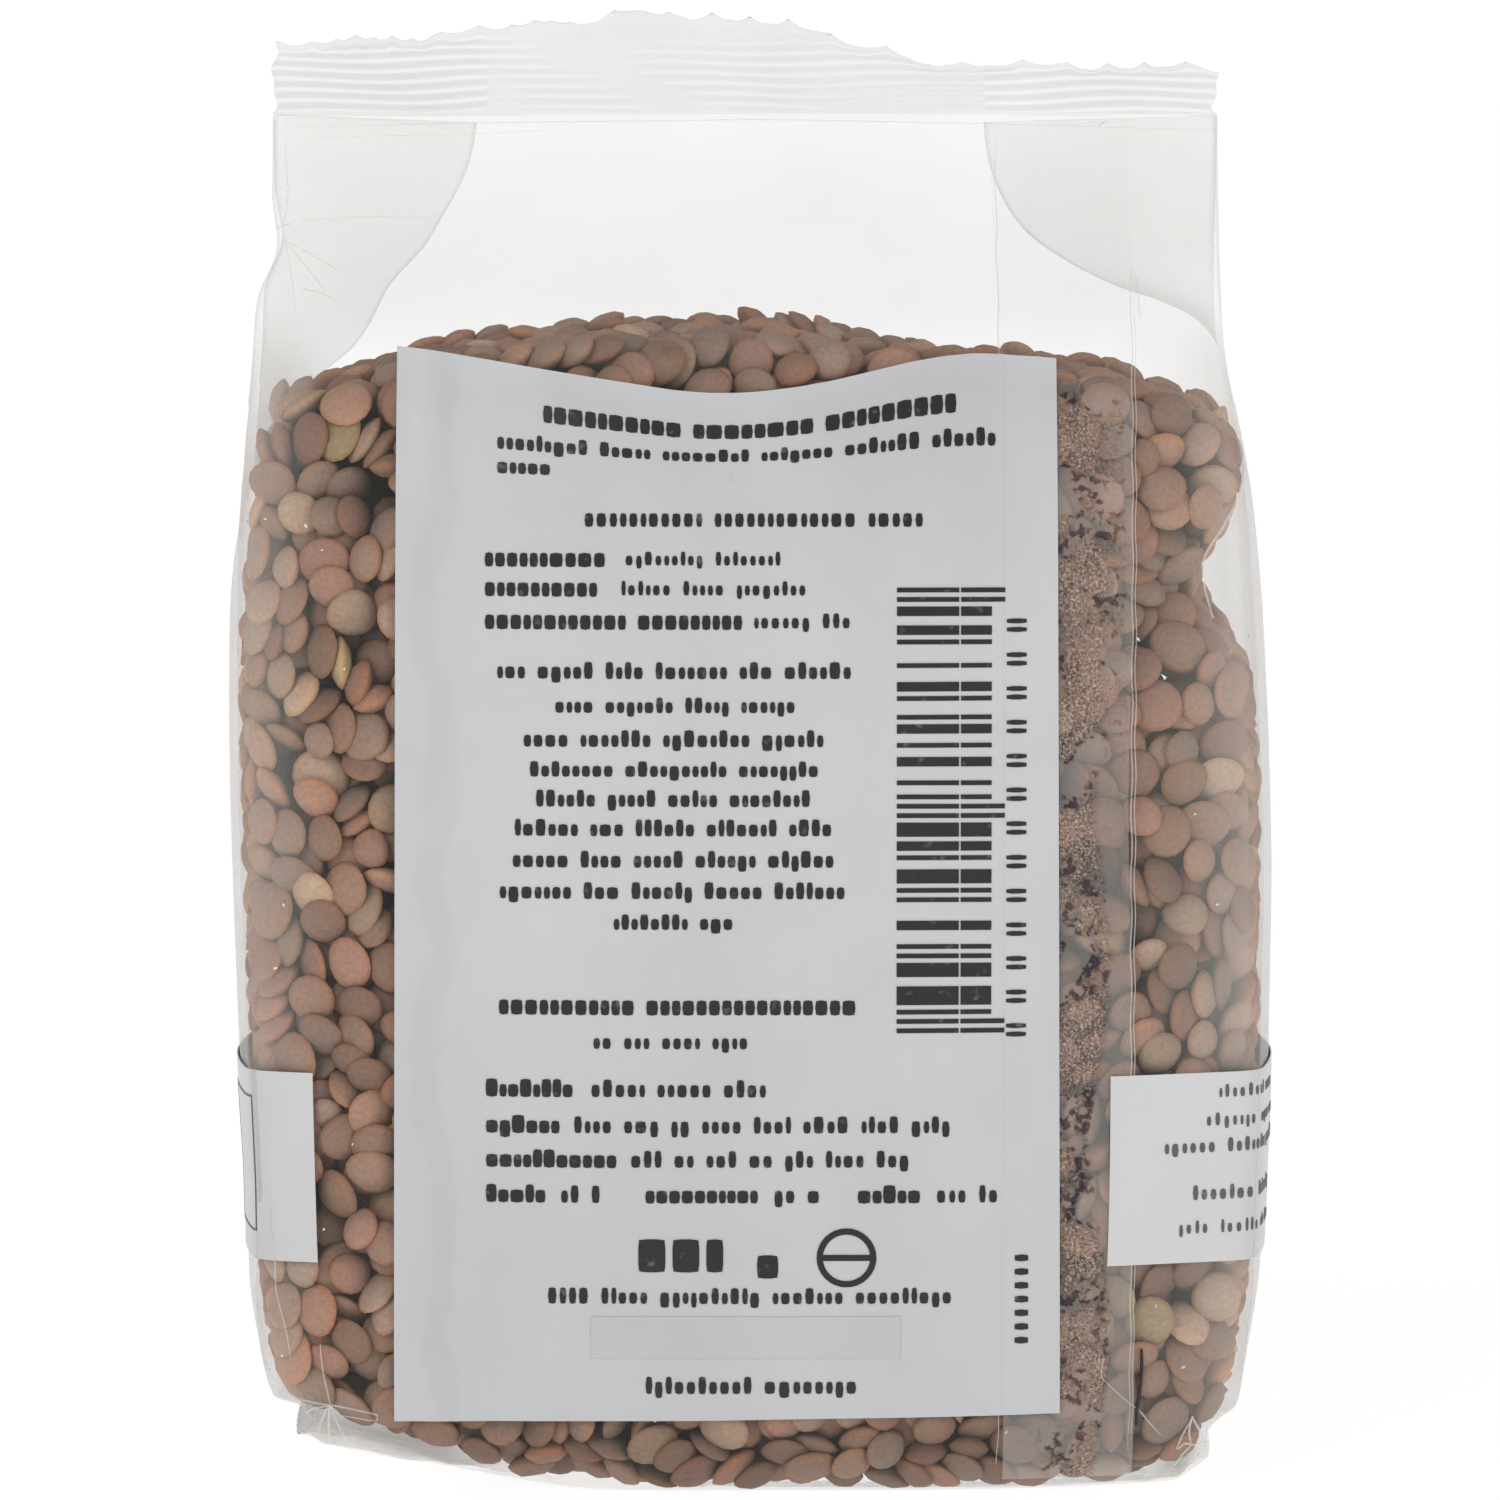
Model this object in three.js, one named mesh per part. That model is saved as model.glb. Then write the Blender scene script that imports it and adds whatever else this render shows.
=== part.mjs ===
// A clear side-gusset bag of dry lentils, sealed across the top and standing on its folded base.
// Millimetres, +Z up. The panel with the long label faces -Y, and the origin is under the middle of the base.
import * as THREE from "three";

// Heights of the bag
const crimpBottom = 134.6; // where the four layers of film meet under the top seal
const crimpTop = 143.2; // the middle of the uneven cut edge
const heapTop = 108; // lentils press against the film up to here
const baseLip = 9; // the rounding between the base and the walls ends here
const baseInset = 6; // how far the flat of the base lies inside the walls
const cornerLift = 2.6; // the left end of the base curls up off the floor
const panelRound = 3.2; // a higher power keeps a panel flatter in the middle and rounder at its creases
const gussetRound = 2.2;

// Film and labels, drawn thicker than the real 0.05 mm so that they are sound solids
const sealHalf = 0.42; // half the thickness of the sealed band
const gussetSeal = 0.18; // added at the ends of the band, where the folded gussets double the film
const sealRib = 0.25; // how far each crimp rib stands out
const sealRibs = 7; // rows across the band, every second one a rib
const sealStep = 0.8; // the height in which the film closes into the band
const sealNose = 0.35; // how far the band's blunt ends stand out
const labelGap = 0.3;
const labelThickness = 0.4;
const seamRise = 0.35; // the lap seam down the back is a second layer of film
const seam = { left: 24.8, right: 37, edge: 0.5 };

// Lentils show through as round swellings with dips between them
const lentilDip = 0.7;

// The labels: one down the back, and a band that runs round the front and ends on the back
const backLabel = { left: -34.6, right: 30.2 };
const bandLabel = { bottom: 22.9, top: 41.8, leftEnd: -42.8, rightEnd: 35.3 };

// Columns across each part of the back panel, the front panel and a gusset, and the pitch of the rows
const backColumns = { left: 19, seam: 4, right: 3 };
const frontColumns = 26;
const gussetColumns = 10;
const rowPitch = 3.1;

// A smooth curve through [height, value] knots, with level ends
function through(knots) {
  const slope = knots.map(([z, value], i) => {
    const before = knots[i - 1];
    const after = knots[i + 1];
    if (!before || !after) return 0;
    const rise = (value - before[1]) * (after[1] - value);
    return rise <= 0 ? 0 : (after[1] - before[1]) / (after[0] - before[0]);
  });
  return (z) => {
    if (z <= knots[0][0]) return knots[0][1];
    const last = knots.length - 1;
    if (z >= knots[last][0]) return knots[last][1];
    const i = knots.findIndex((knot) => knot[0] > z) - 1;
    const span = knots[i + 1][0] - knots[i][0];
    const t = (z - knots[i][0]) / span;
    const start = (2 * t ** 3 - 3 * t ** 2 + 1) * knots[i][1];
    const end = (3 * t ** 2 - 2 * t ** 3) * knots[i + 1][1];
    const leave = (t ** 3 - 2 * t ** 2 + t) * span * slope[i];
    const arrive = (t ** 3 - t ** 2) * span * slope[i + 1];
    return start + end + leave + arrive;
  };
}

// Half widths at the creases. Near the floor each side is pinched where the gusset is tucked under the base.
const leftCrease = through([
  [0, 41], [2.6, 43.8], [5, 42.4], [7.4, 45.8], [13, 47.4], [20, 47.8], [36, 48.8],
  [56, 49.8], [74, 50], [92, 49.6], [108, 48.8], [118, 48.4], [122.5, 46.4], [127, 47.2], [crimpBottom, 47.2],
]);
const rightCrease = through([
  [0, 42.5], [2.6, 44.6], [5, 43.6], [7.4, 46.2], [14, 47.6], [30, 49.4], [48, 50],
  [80, 49.6], [98, 48.2], [112, 47.1], [124, 46.7], [crimpBottom, 46.7],
]);

// Half depth of the panels at their middle, and of the creases
const panelDepth = through([
  [0, 19.6], [2.6, 21.6], [6, 22.8], [14, 23.8], [26, 24.2], [84, 24.2], [100, 22.8],
  [110, 19.4], [120, 11.6], [128, 4.6], [crimpBottom, 0.9],
]);
const creaseDepth = through([
  [0, 13.4], [3, 15.2], [8, 16.6], [20, 17.4], [84, 17.4], [98, 16.4],
  [110, 13.6], [120, 8.6], [128, 3.6], [crimpBottom, 0.6],
]);

// How far each gusset is folded in. Below zero the lentils push it out.
const leftFold = through([
  [0, -0.6], [5, -0.3], [8, -1.2], [20, -1.8], [84, -2.1], [96, -1.2], [101, 0.8], [107, 5],
  [113.5, 10.6], [120.4, 13.4], [124.6, 16], [128, 18.6], [crimpBottom, 20.3],
]);
const rightFold = through([
  [0, -0.6], [5, -0.3], [8, -1.2], [20, -1.8], [84, -2.1], [104, -1.2], [112, 0],
  [115.4, 2.5], [118.6, 11], [124.2, 19.6], [crimpBottom, 23.2],
]);

// The cut edge runs unevenly along the top of the seal: highest left of the middle, lowest at the right.
const cutEdge = through([
  [-47, crimpTop - 0.4], [-30, crimpTop + 0.6], [-10, crimpTop + 2.6], [6, crimpTop + 1],
  [18, crimpTop - 2.2], [47, crimpTop - 2.6],
]);
function cutHeight(x) {
  return cutEdge(x) + 0.35 * Math.sin(1.05 * x) + 0.22 * Math.sin(0.47 * x + 1.3);
}

// The slack film of the neck and the seal waves a little in depth
function sway(x, z) {
  const slack = THREE.MathUtils.smoothstep(z, heapTop, crimpBottom);
  return slack * (0.7 * Math.sin(0.085 * x + 0.6) + 0.3 * Math.sin(0.23 * x));
}

// The height of the underside's edge: the left end curls up
function curl(x, z) {
  const leftward = THREE.MathUtils.smoothstep(-x, 14, 44);
  return cornerLift * leftward * Math.max(1 - z / baseLip, 0);
}

// A point of the plain outer form. Side 0 is the back panel from left to right, side 1 the right gusset,
// side 2 the front panel from right to left and side 3 the left gusset; t runs from 0 to 1 along the side.
function formPoint(side, t, z) {
  const left = leftCrease(z);
  const right = rightCrease(z);
  const crease = creaseDepth(z);
  const across = 2 * t - 1;
  if (side % 2 === 0) {
    const facing = side === 0 ? 1 : -1;
    const u = across * facing;
    const x = (right - left) / 2 + (u * (right + left)) / 2;
    const y = crease + (panelDepth(z) - crease) * (1 - Math.abs(u) ** panelRound);
    return new THREE.Vector3(x, -facing * y + sway(x, z), z + curl(x, z));
  }
  const facing = side === 1 ? 1 : -1;
  const fold = side === 1 ? rightFold(z) : leftFold(z);
  const edge = side === 1 ? right : left;
  const bulge = 1 - Math.abs(across) ** (fold < 0 ? gussetRound : 1); // round pushed out, sharp folded in
  const x = facing * (edge - fold * bulge);
  return new THREE.Vector3(x, facing * across * crease + sway(x, z), z + curl(x, z));
}

function formNormal(side, t, z) {
  const step = 0.02;
  const before = formPoint(side, Math.max(t - step, 0), z);
  const after = formPoint(side, Math.min(t + step, 1), z);
  const up = formPoint(side, t, z + 1).sub(formPoint(side, t, Math.max(z - 1, 0)));
  return after.sub(before).cross(up).normalize();
}

// The share of the way along the back panel at which it passes x
function backShare(x, z) {
  return (x + leftCrease(z)) / (leftCrease(z) + rightCrease(z));
}

function overSeam(x, margin) {
  return x > seam.left - margin && x < seam.right + margin;
}

// Across the back, the film pulls the label's upper edge down in the middle, and the lower edge rises
// to the right
const labelTop = through([
  [backLabel.left, 113.6], [-18.4, 111], [-4.1, 108.9], [4.9, 109.5], [12.1, 111.1], [19.2, 112.8],
  [25, 112.9], [backLabel.right, 112.2],
]);
const labelBottom = through([[backLabel.left, 7.1], [-24.9, 7.5], [-2.2, 7.75], [backLabel.right, 8.2]]);

function underLabel(side, x, z) {
  const margin = 2; // bumps stay this far from a label
  const behindBack = side === 0 && x > backLabel.left - margin && x < backLabel.right + margin
    && z > labelBottom(x) - margin && z < labelTop(x) + margin;
  const behindBand = z > bandLabel.bottom - margin && z < bandLabel.top + margin
    && (side !== 0 || x < bandLabel.leftEnd + margin || x > bandLabel.rightEnd - margin);
  return behindBack || behindBand;
}

// A repeatable uneven number from 0 to 1 for each lentil
function uneven(i, j) {
  const wave = Math.sin(i * 127.1 + j * 311.7) * 43758.5453;
  return wave - Math.floor(wave);
}

// How far the film dips between lentils: every second corner of the grid is the middle of a lentil
function dip(side, column, row, point) {
  const crest = (column + row) % 2 === 0;
  const inSeam = side === 0 && overSeam(point.x, seam.edge);
  if (crest || column === 0 || inSeam || underLabel(side, point.x, point.z)) return 0;
  if (point.z < baseLip || point.z > heapTop) return 0;
  return lentilDip * (0.45 + 0.55 * uneven(column + frontColumns * side, row));
}

function evenShares(from, to, count) {
  return Array.from({ length: count }, (_, i) => THREE.MathUtils.lerp(from, to, i / count));
}

// The columns of each side as shares along it. The back panel has two columns close together at each edge
// of its seam, where the second layer of film steps up.
function columnsOf(side, z) {
  if (side === 2) return evenShares(0, 1, frontColumns);
  if (side !== 0) return evenShares(0, 1, gussetColumns);
  const edges = [seam.left, seam.left + seam.edge, seam.right - seam.edge, seam.right];
  const [outerLeft, innerLeft, innerRight, outerRight] = edges.map((x) => backShare(x, z));
  return [
    ...evenShares(0, outerLeft, backColumns.left),
    outerLeft,
    ...evenShares(innerLeft, innerRight, backColumns.seam),
    innerRight,
    ...evenShares(outerRight, 1, backColumns.right),
  ];
}

// One closed ring of points round the walls at height z
function wallRing(z, row) {
  const points = [];
  for (let side = 0; side < 4; side++) {
    columnsOf(side, z).forEach((t, column) => {
      const point = formPoint(side, t, z);
      const onSeam = side === 0 && overSeam(point.x, -seam.edge / 2);
      const rise = onSeam && z > baseLip ? seamRise : 0;
      points.push(point.addScaledVector(formNormal(side, t, z), rise - dip(side, column, row, point)));
    });
  }
  return points;
}

// The edge of the flat that the bag stands on, inside the lowest ring of the walls
function footRing() {
  return wallRing(0, 0).map((point) => {
    const reach = Math.hypot(point.x, point.y);
    const inward = Math.min(baseInset + 2 * point.z, reach) / reach;
    return new THREE.Vector3(point.x * (1 - inward), point.y * (1 - inward), 0);
  });
}

// One closed ring of the sealed band: share 0 is its lower line and 1 the cut edge
function sealRing(share, rib) {
  const points = [];
  const leftEdge = -leftCrease(crimpBottom);
  const rightEdge = rightCrease(crimpBottom);
  const leftGusset = leftEdge + leftFold(crimpBottom);
  const rightGusset = rightEdge - rightFold(crimpBottom);
  for (let side = 0; side < 4; side++) {
    for (const t of columnsOf(side, crimpBottom)) {
      const onPanel = side % 2 === 0;
      const facing = side < 2 ? 1 : -1;
      const end = Math.round(2 * t - 1); // the folded gusset closes to a blunt edge of three points
      const edge = side === 1 ? rightEdge : leftEdge;
      const x = onPanel ? formPoint(side, t, crimpBottom).x : edge + (end === 0 ? sealNose * facing : 0);
      const doubled = x < leftGusset || x > rightGusset;
      const half = sealHalf + (doubled ? gussetSeal : 0) + rib;
      const y = onPanel ? -facing * half : facing * end * half;
      const z = THREE.MathUtils.lerp(crimpBottom + sealStep, cutHeight(x), share);
      points.push(new THREE.Vector3(x, y + sway(x, z), z));
    }
  }
  return points;
}

// Collects triangles over merged corners, and leaves out those that have shrunk to a line
class SolidBuilder {
  constructor() {
    this.corners = new Map();
    this.positions = [];
    this.index = [];
  }

  corner(point) {
    const key = [point.x, point.y, point.z].map((value) => Math.round(value * 1000)).join();
    if (!this.corners.has(key)) {
      this.corners.set(key, this.positions.length / 3);
      this.positions.push(point.x, point.y, point.z);
    }
    return this.corners.get(key);
  }

  triangle(a, b, c) {
    const [i, j, k] = [this.corner(a), this.corner(b), this.corner(c)];
    if (i !== j && j !== k && k !== i) this.index.push(i, j, k);
  }

  quad(a, b, c, d) {
    this.triangle(a, b, c);
    this.triangle(a, c, d);
  }

  geometry() {
    const made = new THREE.BufferGeometry();
    made.setAttribute("position", new THREE.Float32BufferAttribute(this.positions, 3));
    made.setIndex(this.index);
    made.computeVertexNormals();
    return made;
  }
}

function joinRings(builder, lower, upper) {
  lower.forEach((point, i) => {
    const next = (i + 1) % lower.length;
    builder.quad(point, lower[next], upper[next], upper[i]);
  });
}

// Closes the long thin cut edge, working from its right end to its left end
function closeCutEdge(builder, ring) {
  const rightEnd = columnsOf(0, crimpBottom).length + gussetColumns / 2;
  const leftEnd = ring.length - gussetColumns / 2;
  const at = (i) => ring[(i + ring.length) % ring.length];
  let back = rightEnd;
  let front = rightEnd;
  while (back > leftEnd - ring.length || front < leftEnd) {
    const backDone = back === leftEnd - ring.length;
    const frontDone = front === leftEnd;
    if (!backDone && (frontDone || at(back - 1).x >= at(front + 1).x)) {
      builder.triangle(at(back), at(front), at(back - 1));
      back -= 1;
    } else {
      builder.triangle(at(back), at(front), at(front + 1));
      front += 1;
    }
  }
}

function bagGeometry() {
  const builder = new SolidBuilder();
  const lip = [0, 1.2, 2.6, 3.8, 5, 6.2, 7.4];
  const wallRows = Math.round((heapTop - baseLip) / rowPitch);
  const walls = evenShares(baseLip, heapTop, wallRows);
  const neck = [heapTop, 110.5, 113, 115.4, 117, 118.6, 120.4, 122.5, 124.6, 127, 129.5, 132, crimpBottom];
  const rings = [footRing(), ...[...lip, ...walls, ...neck].map((z, row) => wallRing(z, row))];
  for (let row = 0; row <= sealRibs; row++) {
    rings.push(sealRing(row / sealRibs, row % 2 ? sealRib : 0));
  }
  for (let i = 1; i < rings.length; i++) joinRings(builder, rings[i - 1], rings[i]);
  const underside = new THREE.Vector3(0, 0, 0);
  rings[0].forEach((point, i) => {
    builder.triangle(underside, rings[0][(i + 1) % rings[0].length], point);
  });
  closeCutEdge(builder, rings[rings.length - 1]);
  return builder.geometry();
}

// A skin laid over the form with a small gap. place(i, j) gives the side, share and height of point i, j.
function skinGeometry(columns, rows, place) {
  const builder = new SolidBuilder();
  const layer = (lift) => Array.from({ length: columns + 1 }, (_, i) =>
    Array.from({ length: rows + 1 }, (__, j) => {
      const { side, t, z } = place(i, j);
      const point = formPoint(side, t, z);
      const step = side === 0 && overSeam(point.x, 3 * seam.edge) ? seamRise : 0;
      return point.addScaledVector(formNormal(side, t, z), lift + step);
    }));
  const inner = layer(labelGap);
  const outer = layer(labelGap + labelThickness);
  for (let i = 0; i < columns; i++) {
    for (let j = 0; j < rows; j++) {
      builder.quad(outer[i][j], outer[i + 1][j], outer[i + 1][j + 1], outer[i][j + 1]);
      builder.quad(inner[i][j], inner[i][j + 1], inner[i + 1][j + 1], inner[i + 1][j]);
    }
    builder.quad(inner[i][0], inner[i + 1][0], outer[i + 1][0], outer[i][0]);
    builder.quad(outer[i][rows], outer[i + 1][rows], inner[i + 1][rows], inner[i][rows]);
  }
  for (let j = 0; j < rows; j++) {
    builder.quad(outer[0][j], outer[0][j + 1], inner[0][j + 1], inner[0][j]);
    builder.quad(inner[columns][j], inner[columns][j + 1], outer[columns][j + 1], outer[columns][j]);
  }
  return builder.geometry();
}

function backLabelGeometry() {
  const columns = 16;
  const rows = 18;
  return skinGeometry(columns, rows, (i, j) => {
    const x = THREE.MathUtils.lerp(backLabel.left, backLabel.right, i / columns);
    const z = THREE.MathUtils.lerp(labelBottom(x), labelTop(x), j / rows);
    return { side: 0, t: backShare(x, z), z };
  });
}

// The band starts on the back right of the lap seam, goes round the front and ends on the back left
function bandLabelGeometry() {
  const rows = 4;
  const rightEnd = 4; // columns on the back to the right
  const leftEnd = 2; // and to the left
  const front = 16;
  const columns = rightEnd + leftEnd + 2 * gussetColumns + front;
  return skinGeometry(columns, rows, (i, j) => {
    const z = THREE.MathUtils.lerp(bandLabel.bottom, bandLabel.top, j / rows);
    const fromRight = i - rightEnd;
    const fromFront = fromRight - gussetColumns;
    const fromLeft = fromFront - front;
    if (fromRight < 0) {
      return { side: 0, t: THREE.MathUtils.lerp(backShare(bandLabel.rightEnd, z), 1, i / rightEnd), z };
    }
    if (fromFront < 0) return { side: 1, t: fromRight / gussetColumns, z };
    if (fromLeft < 0) return { side: 2, t: fromFront / front, z };
    if (fromLeft < gussetColumns) return { side: 3, t: fromLeft / gussetColumns, z };
    const t = (backShare(bandLabel.leftEnd, z) * (fromLeft - gussetColumns)) / leftEnd;
    return { side: 0, t, z };
  });
}

const materials = {
  lentils: new THREE.MeshStandardMaterial({ color: "#8f7460", roughness: 0.75, metalness: 0 }),
  label: new THREE.MeshStandardMaterial({ color: "#dcdcde", roughness: 0.5, metalness: 0 }),
};

function named(name, geometry, material) {
  const mesh = new THREE.Mesh(geometry, material);
  mesh.name = name;
  return mesh;
}

const bagOfLentils = new THREE.Group();
bagOfLentils.add(named("bag", bagGeometry(), materials.lentils));
bagOfLentils.add(named("back_label", backLabelGeometry(), materials.label));
bagOfLentils.add(named("band_label", bandLabelGeometry(), materials.label));

// The origin goes under the middle of the whole
const extent = new THREE.Box3().setFromObject(bagOfLentils);
const middle = extent.getCenter(new THREE.Vector3());
bagOfLentils.position.set(-middle.x, -middle.y, -extent.min.z);

export default bagOfLentils;
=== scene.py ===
import math

import bpy
import numpy as np
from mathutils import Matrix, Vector
from mathutils.bvhtree import BVHTree
from mathutils.kdtree import KDTree


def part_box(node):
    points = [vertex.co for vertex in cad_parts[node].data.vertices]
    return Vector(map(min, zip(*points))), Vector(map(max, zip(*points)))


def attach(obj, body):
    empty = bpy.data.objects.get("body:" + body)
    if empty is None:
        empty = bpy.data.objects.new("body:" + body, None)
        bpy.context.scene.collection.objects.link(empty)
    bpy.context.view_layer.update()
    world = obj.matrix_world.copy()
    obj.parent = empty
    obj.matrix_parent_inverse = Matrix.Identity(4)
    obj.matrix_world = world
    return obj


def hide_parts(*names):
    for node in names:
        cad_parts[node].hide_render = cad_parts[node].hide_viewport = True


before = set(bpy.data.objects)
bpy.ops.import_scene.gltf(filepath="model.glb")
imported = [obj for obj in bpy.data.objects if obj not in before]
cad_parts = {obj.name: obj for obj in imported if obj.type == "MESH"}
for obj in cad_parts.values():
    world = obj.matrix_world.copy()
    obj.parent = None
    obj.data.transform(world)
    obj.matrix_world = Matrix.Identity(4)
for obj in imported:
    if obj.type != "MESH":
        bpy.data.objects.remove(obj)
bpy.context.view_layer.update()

# A clear bag of lentils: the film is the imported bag's own skin, drawn over thousands of single lentils.
# Metres throughout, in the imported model's frame; the long label faces -Y.
mm = 0.001


# Selecting, editing and finishing, as by hand

def deselectAll():
    if bpy.context.object and bpy.context.object.mode != "OBJECT":
        bpy.ops.object.mode_set(mode="OBJECT")
    bpy.ops.object.select_all(action="DESELECT")


def makeActive(piece):
    deselectAll()
    piece.select_set(True)
    bpy.context.view_layer.objects.active = piece


def startEdit(piece, kind="VERT"):
    makeActive(piece)
    bpy.ops.object.mode_set(mode="EDIT")
    bpy.ops.mesh.select_mode(type=kind)
    bpy.ops.mesh.select_all(action="DESELECT")


def endEdit():
    bpy.ops.object.mode_set(mode="OBJECT")


def selectVertices(piece, chosen):
    bpy.ops.object.mode_set(mode="OBJECT")
    piece.data.vertices.foreach_set("select", np.asarray(chosen, dtype=bool))
    bpy.ops.object.mode_set(mode="EDIT")


def applyModifiers(piece):
    makeActive(piece)
    for modifier in list(piece.modifiers):
        bpy.ops.object.modifier_apply(modifier=modifier.name)


def settle(piece):
    makeActive(piece)
    bpy.ops.object.transform_apply(location=True, rotation=True, scale=True)


def editAll(piece, kind="VERT"):
    startEdit(piece, kind)
    bpy.ops.mesh.select_all(action="SELECT")


def newest(name):
    piece = bpy.context.object
    piece.name = name
    piece.data.name = name
    return piece


def linked(name, data):
    piece = bpy.data.objects.new(name, data)
    bpy.context.collection.objects.link(piece)
    return piece


def fromLists(name, points, faces):
    mesh = bpy.data.meshes.new(name)
    mesh.from_pydata(points, [], faces)
    return linked(name, mesh)


# A flat grid, with how far across and how far up it each of its points lies
def gridPiece(name, across, up):
    deselectAll()
    bpy.ops.mesh.primitive_grid_add(x_subdivisions=across, y_subdivisions=up, size=1)
    piece = newest(name)
    points = getPoints(piece)
    return piece, points[:, 0] + 0.5, points[:, 1] + 0.5


def solidify(piece, thickness, offset):
    solid = piece.modifiers.new("thickness", "SOLIDIFY")
    solid.thickness = thickness
    solid.offset = offset
    applyModifiers(piece)


def shadeSmooth(piece):
    makeActive(piece)
    bpy.ops.object.shade_smooth()


def getPoints(piece):
    points = np.empty(len(piece.data.vertices) * 3)
    piece.data.vertices.foreach_get("co", points)
    return points.reshape(-1, 3)


def getNormals(piece):
    normals = np.empty(len(piece.data.vertices) * 3)
    piece.data.vertices.foreach_get("normal", normals)
    return normals.reshape(-1, 3)


def setPoints(piece, points):
    piece.data.vertices.foreach_set("co", np.ascontiguousarray(points).ravel())
    piece.data.update()


def skinTree(piece):
    piece.data.calc_loop_triangles()
    corners = np.empty(len(piece.data.loop_triangles) * 3, dtype=np.int32)
    piece.data.loop_triangles.foreach_get("vertices", corners)
    return BVHTree.FromPolygons(getPoints(piece).tolist(), corners.reshape(-1, 3).tolist())


def smoothStep(low, high, x):
    t = np.clip((x - low) / (high - low), 0, 1)
    return t * t * (3 - 2 * t)


def lengthAlong(line):
    return np.concatenate([[0], np.cumsum(np.hypot(*np.diff(line, axis=0).T))])


def unit(vectors):
    return vectors / np.maximum(np.linalg.norm(vectors, axis=1, keepdims=True), 1e-12)


def dots(a, b):
    return np.einsum("ij,ij->i", a, b)


# Two directions square to each axis and to each other
def squareTo(axes):
    side = unit(np.cross(axes, np.where(np.abs(axes[:, 2:]) < 0.8, [[0, 0, 1]], [[1, 0, 0]])))
    return side, np.cross(axes, side)


# Film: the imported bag's skin with its bumps smoothed away, then drawn in over the lentils

film = dict(
    smoothFrom=4 * mm, smoothTo=111 * mm,  # heights between which the skin's own bumps are smoothed
    smoothTimes=12, outFrom=30 * mm,
    creaseAngle=math.radians(38), lowCrease=0.35, creaseHeights=(98 * mm, 114 * mm),
    # how far the sides are let out where smoothing drew them in, in mm by height
    sideHeights=(0, 4, 8, 13, 19, 25, 31, 43, 60, 80, 98, 106, 113, 120),
    left=(0.4, 1.2, 0.6, 0.8, 0.9, 0.3, 0, 0, 0, 0.2, 0.7, 0.5, 0, 0),
    right=(0.4, 1.8, 2.1, 1.8, 1.7, 1.2, 0.8, 0.6, 0.9, 0.6, 0.9, 0.6, 0, 0),
    cornerLift=0.9 * mm,
    # more milkiness right of the seam, and painted sheen where the panel turns into each side: the film there
    # is made milkier and paler
    hazeRight=0.075, hazeLeftEdge=0.27, hazeRightEdge=0.24, edgeFrom=41 * mm, edgeTo=50 * mm, sideSheen=0.62,
    # painted sheen by height: how strongly the film whitens and clouds as it turns away
    sheenHeights=(0, 6, 12, 100, 113, 134), sheen=(0.12, 0.2, 0.6, 0.7, 0.2, 0.15),
    # how milky it is over the lentils, above them and at the sides
    hazeOver=0.05, hazeFree=0.11, hazeSide=0.09, freeFrom=108 * mm, freeTo=117 * mm,
)


def copyOfNode(node, name):
    deselectAll()
    source = bpy.data.objects[node]
    piece = source.copy()
    piece.data = source.data.copy()
    piece.name = name
    piece.data.name = name
    bpy.context.collection.objects.link(piece)
    piece.hide_set(False)
    piece.hide_render = False
    return piece


def buildFilmBase():
    piece = copyOfNode("bag", "film")
    editAll(piece)
    bpy.ops.mesh.remove_doubles(threshold=0.01 * mm)
    bpy.ops.mesh.tris_convert_to_quads(face_threshold=math.pi, shape_threshold=math.pi)
    bpy.ops.mesh.normals_make_consistent(inside=False)
    # The upright creases keep their place, and stay sharp where the gussets fold in
    endEdit()
    startEdit(piece, "EDGE")
    bpy.ops.mesh.edges_select_sharp(sharpness=film["creaseAngle"])
    endEdit()
    folded = np.array([edge.select for edge in piece.data.edges])
    ends = np.array([tuple(edge.vertices) for edge in piece.data.edges])
    z = getPoints(piece)[:, 2]
    sharp = np.clip(film["lowCrease"] + smoothStep(*film["creaseHeights"], z[ends].mean(1)), 0, 1)
    layer = piece.data.attributes.new("crease_edge", "FLOAT", "EDGE")
    layer.data.foreach_set("value", (folded * sharp).astype(np.float32))
    startEdit(piece)
    onFold = np.zeros(len(z), dtype=bool)
    onFold[ends[folded].ravel()] = True
    selectVertices(piece, (z > film["smoothFrom"]) & (z < film["smoothTo"]) & ~onFold)
    bpy.ops.mesh.vertices_smooth(factor=0.5, repeat=film["smoothTimes"])
    endEdit()
    points, normals = getPoints(piece), getNormals(piece)
    heights = points[:, 2] / mm
    right, left = (np.interp(heights, film["sideHeights"], film[side]) for side in ("right", "left"))
    outs = np.where(points[:, 0] > 0, right, left)
    outs = outs * smoothStep(0.2, 0.7, np.abs(normals[:, 0])) * (np.abs(points[:, 0]) > film["outFrom"])
    points[:, 0] += np.sign(points[:, 0]) * outs * mm
    lift = film["cornerLift"] * smoothStep(12 * mm, 32 * mm, -points[:, 0])
    points[:, 2] += lift * np.clip(1 - heights / 9, 0, 1)
    setPoints(piece, points)
    print("film base:", len(piece.data.vertices), "points,", len(piece.data.polygons), "faces")
    return piece


# Lentils: one lens is modelled, then packed by pushing single lenses apart between the film and a core

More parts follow.
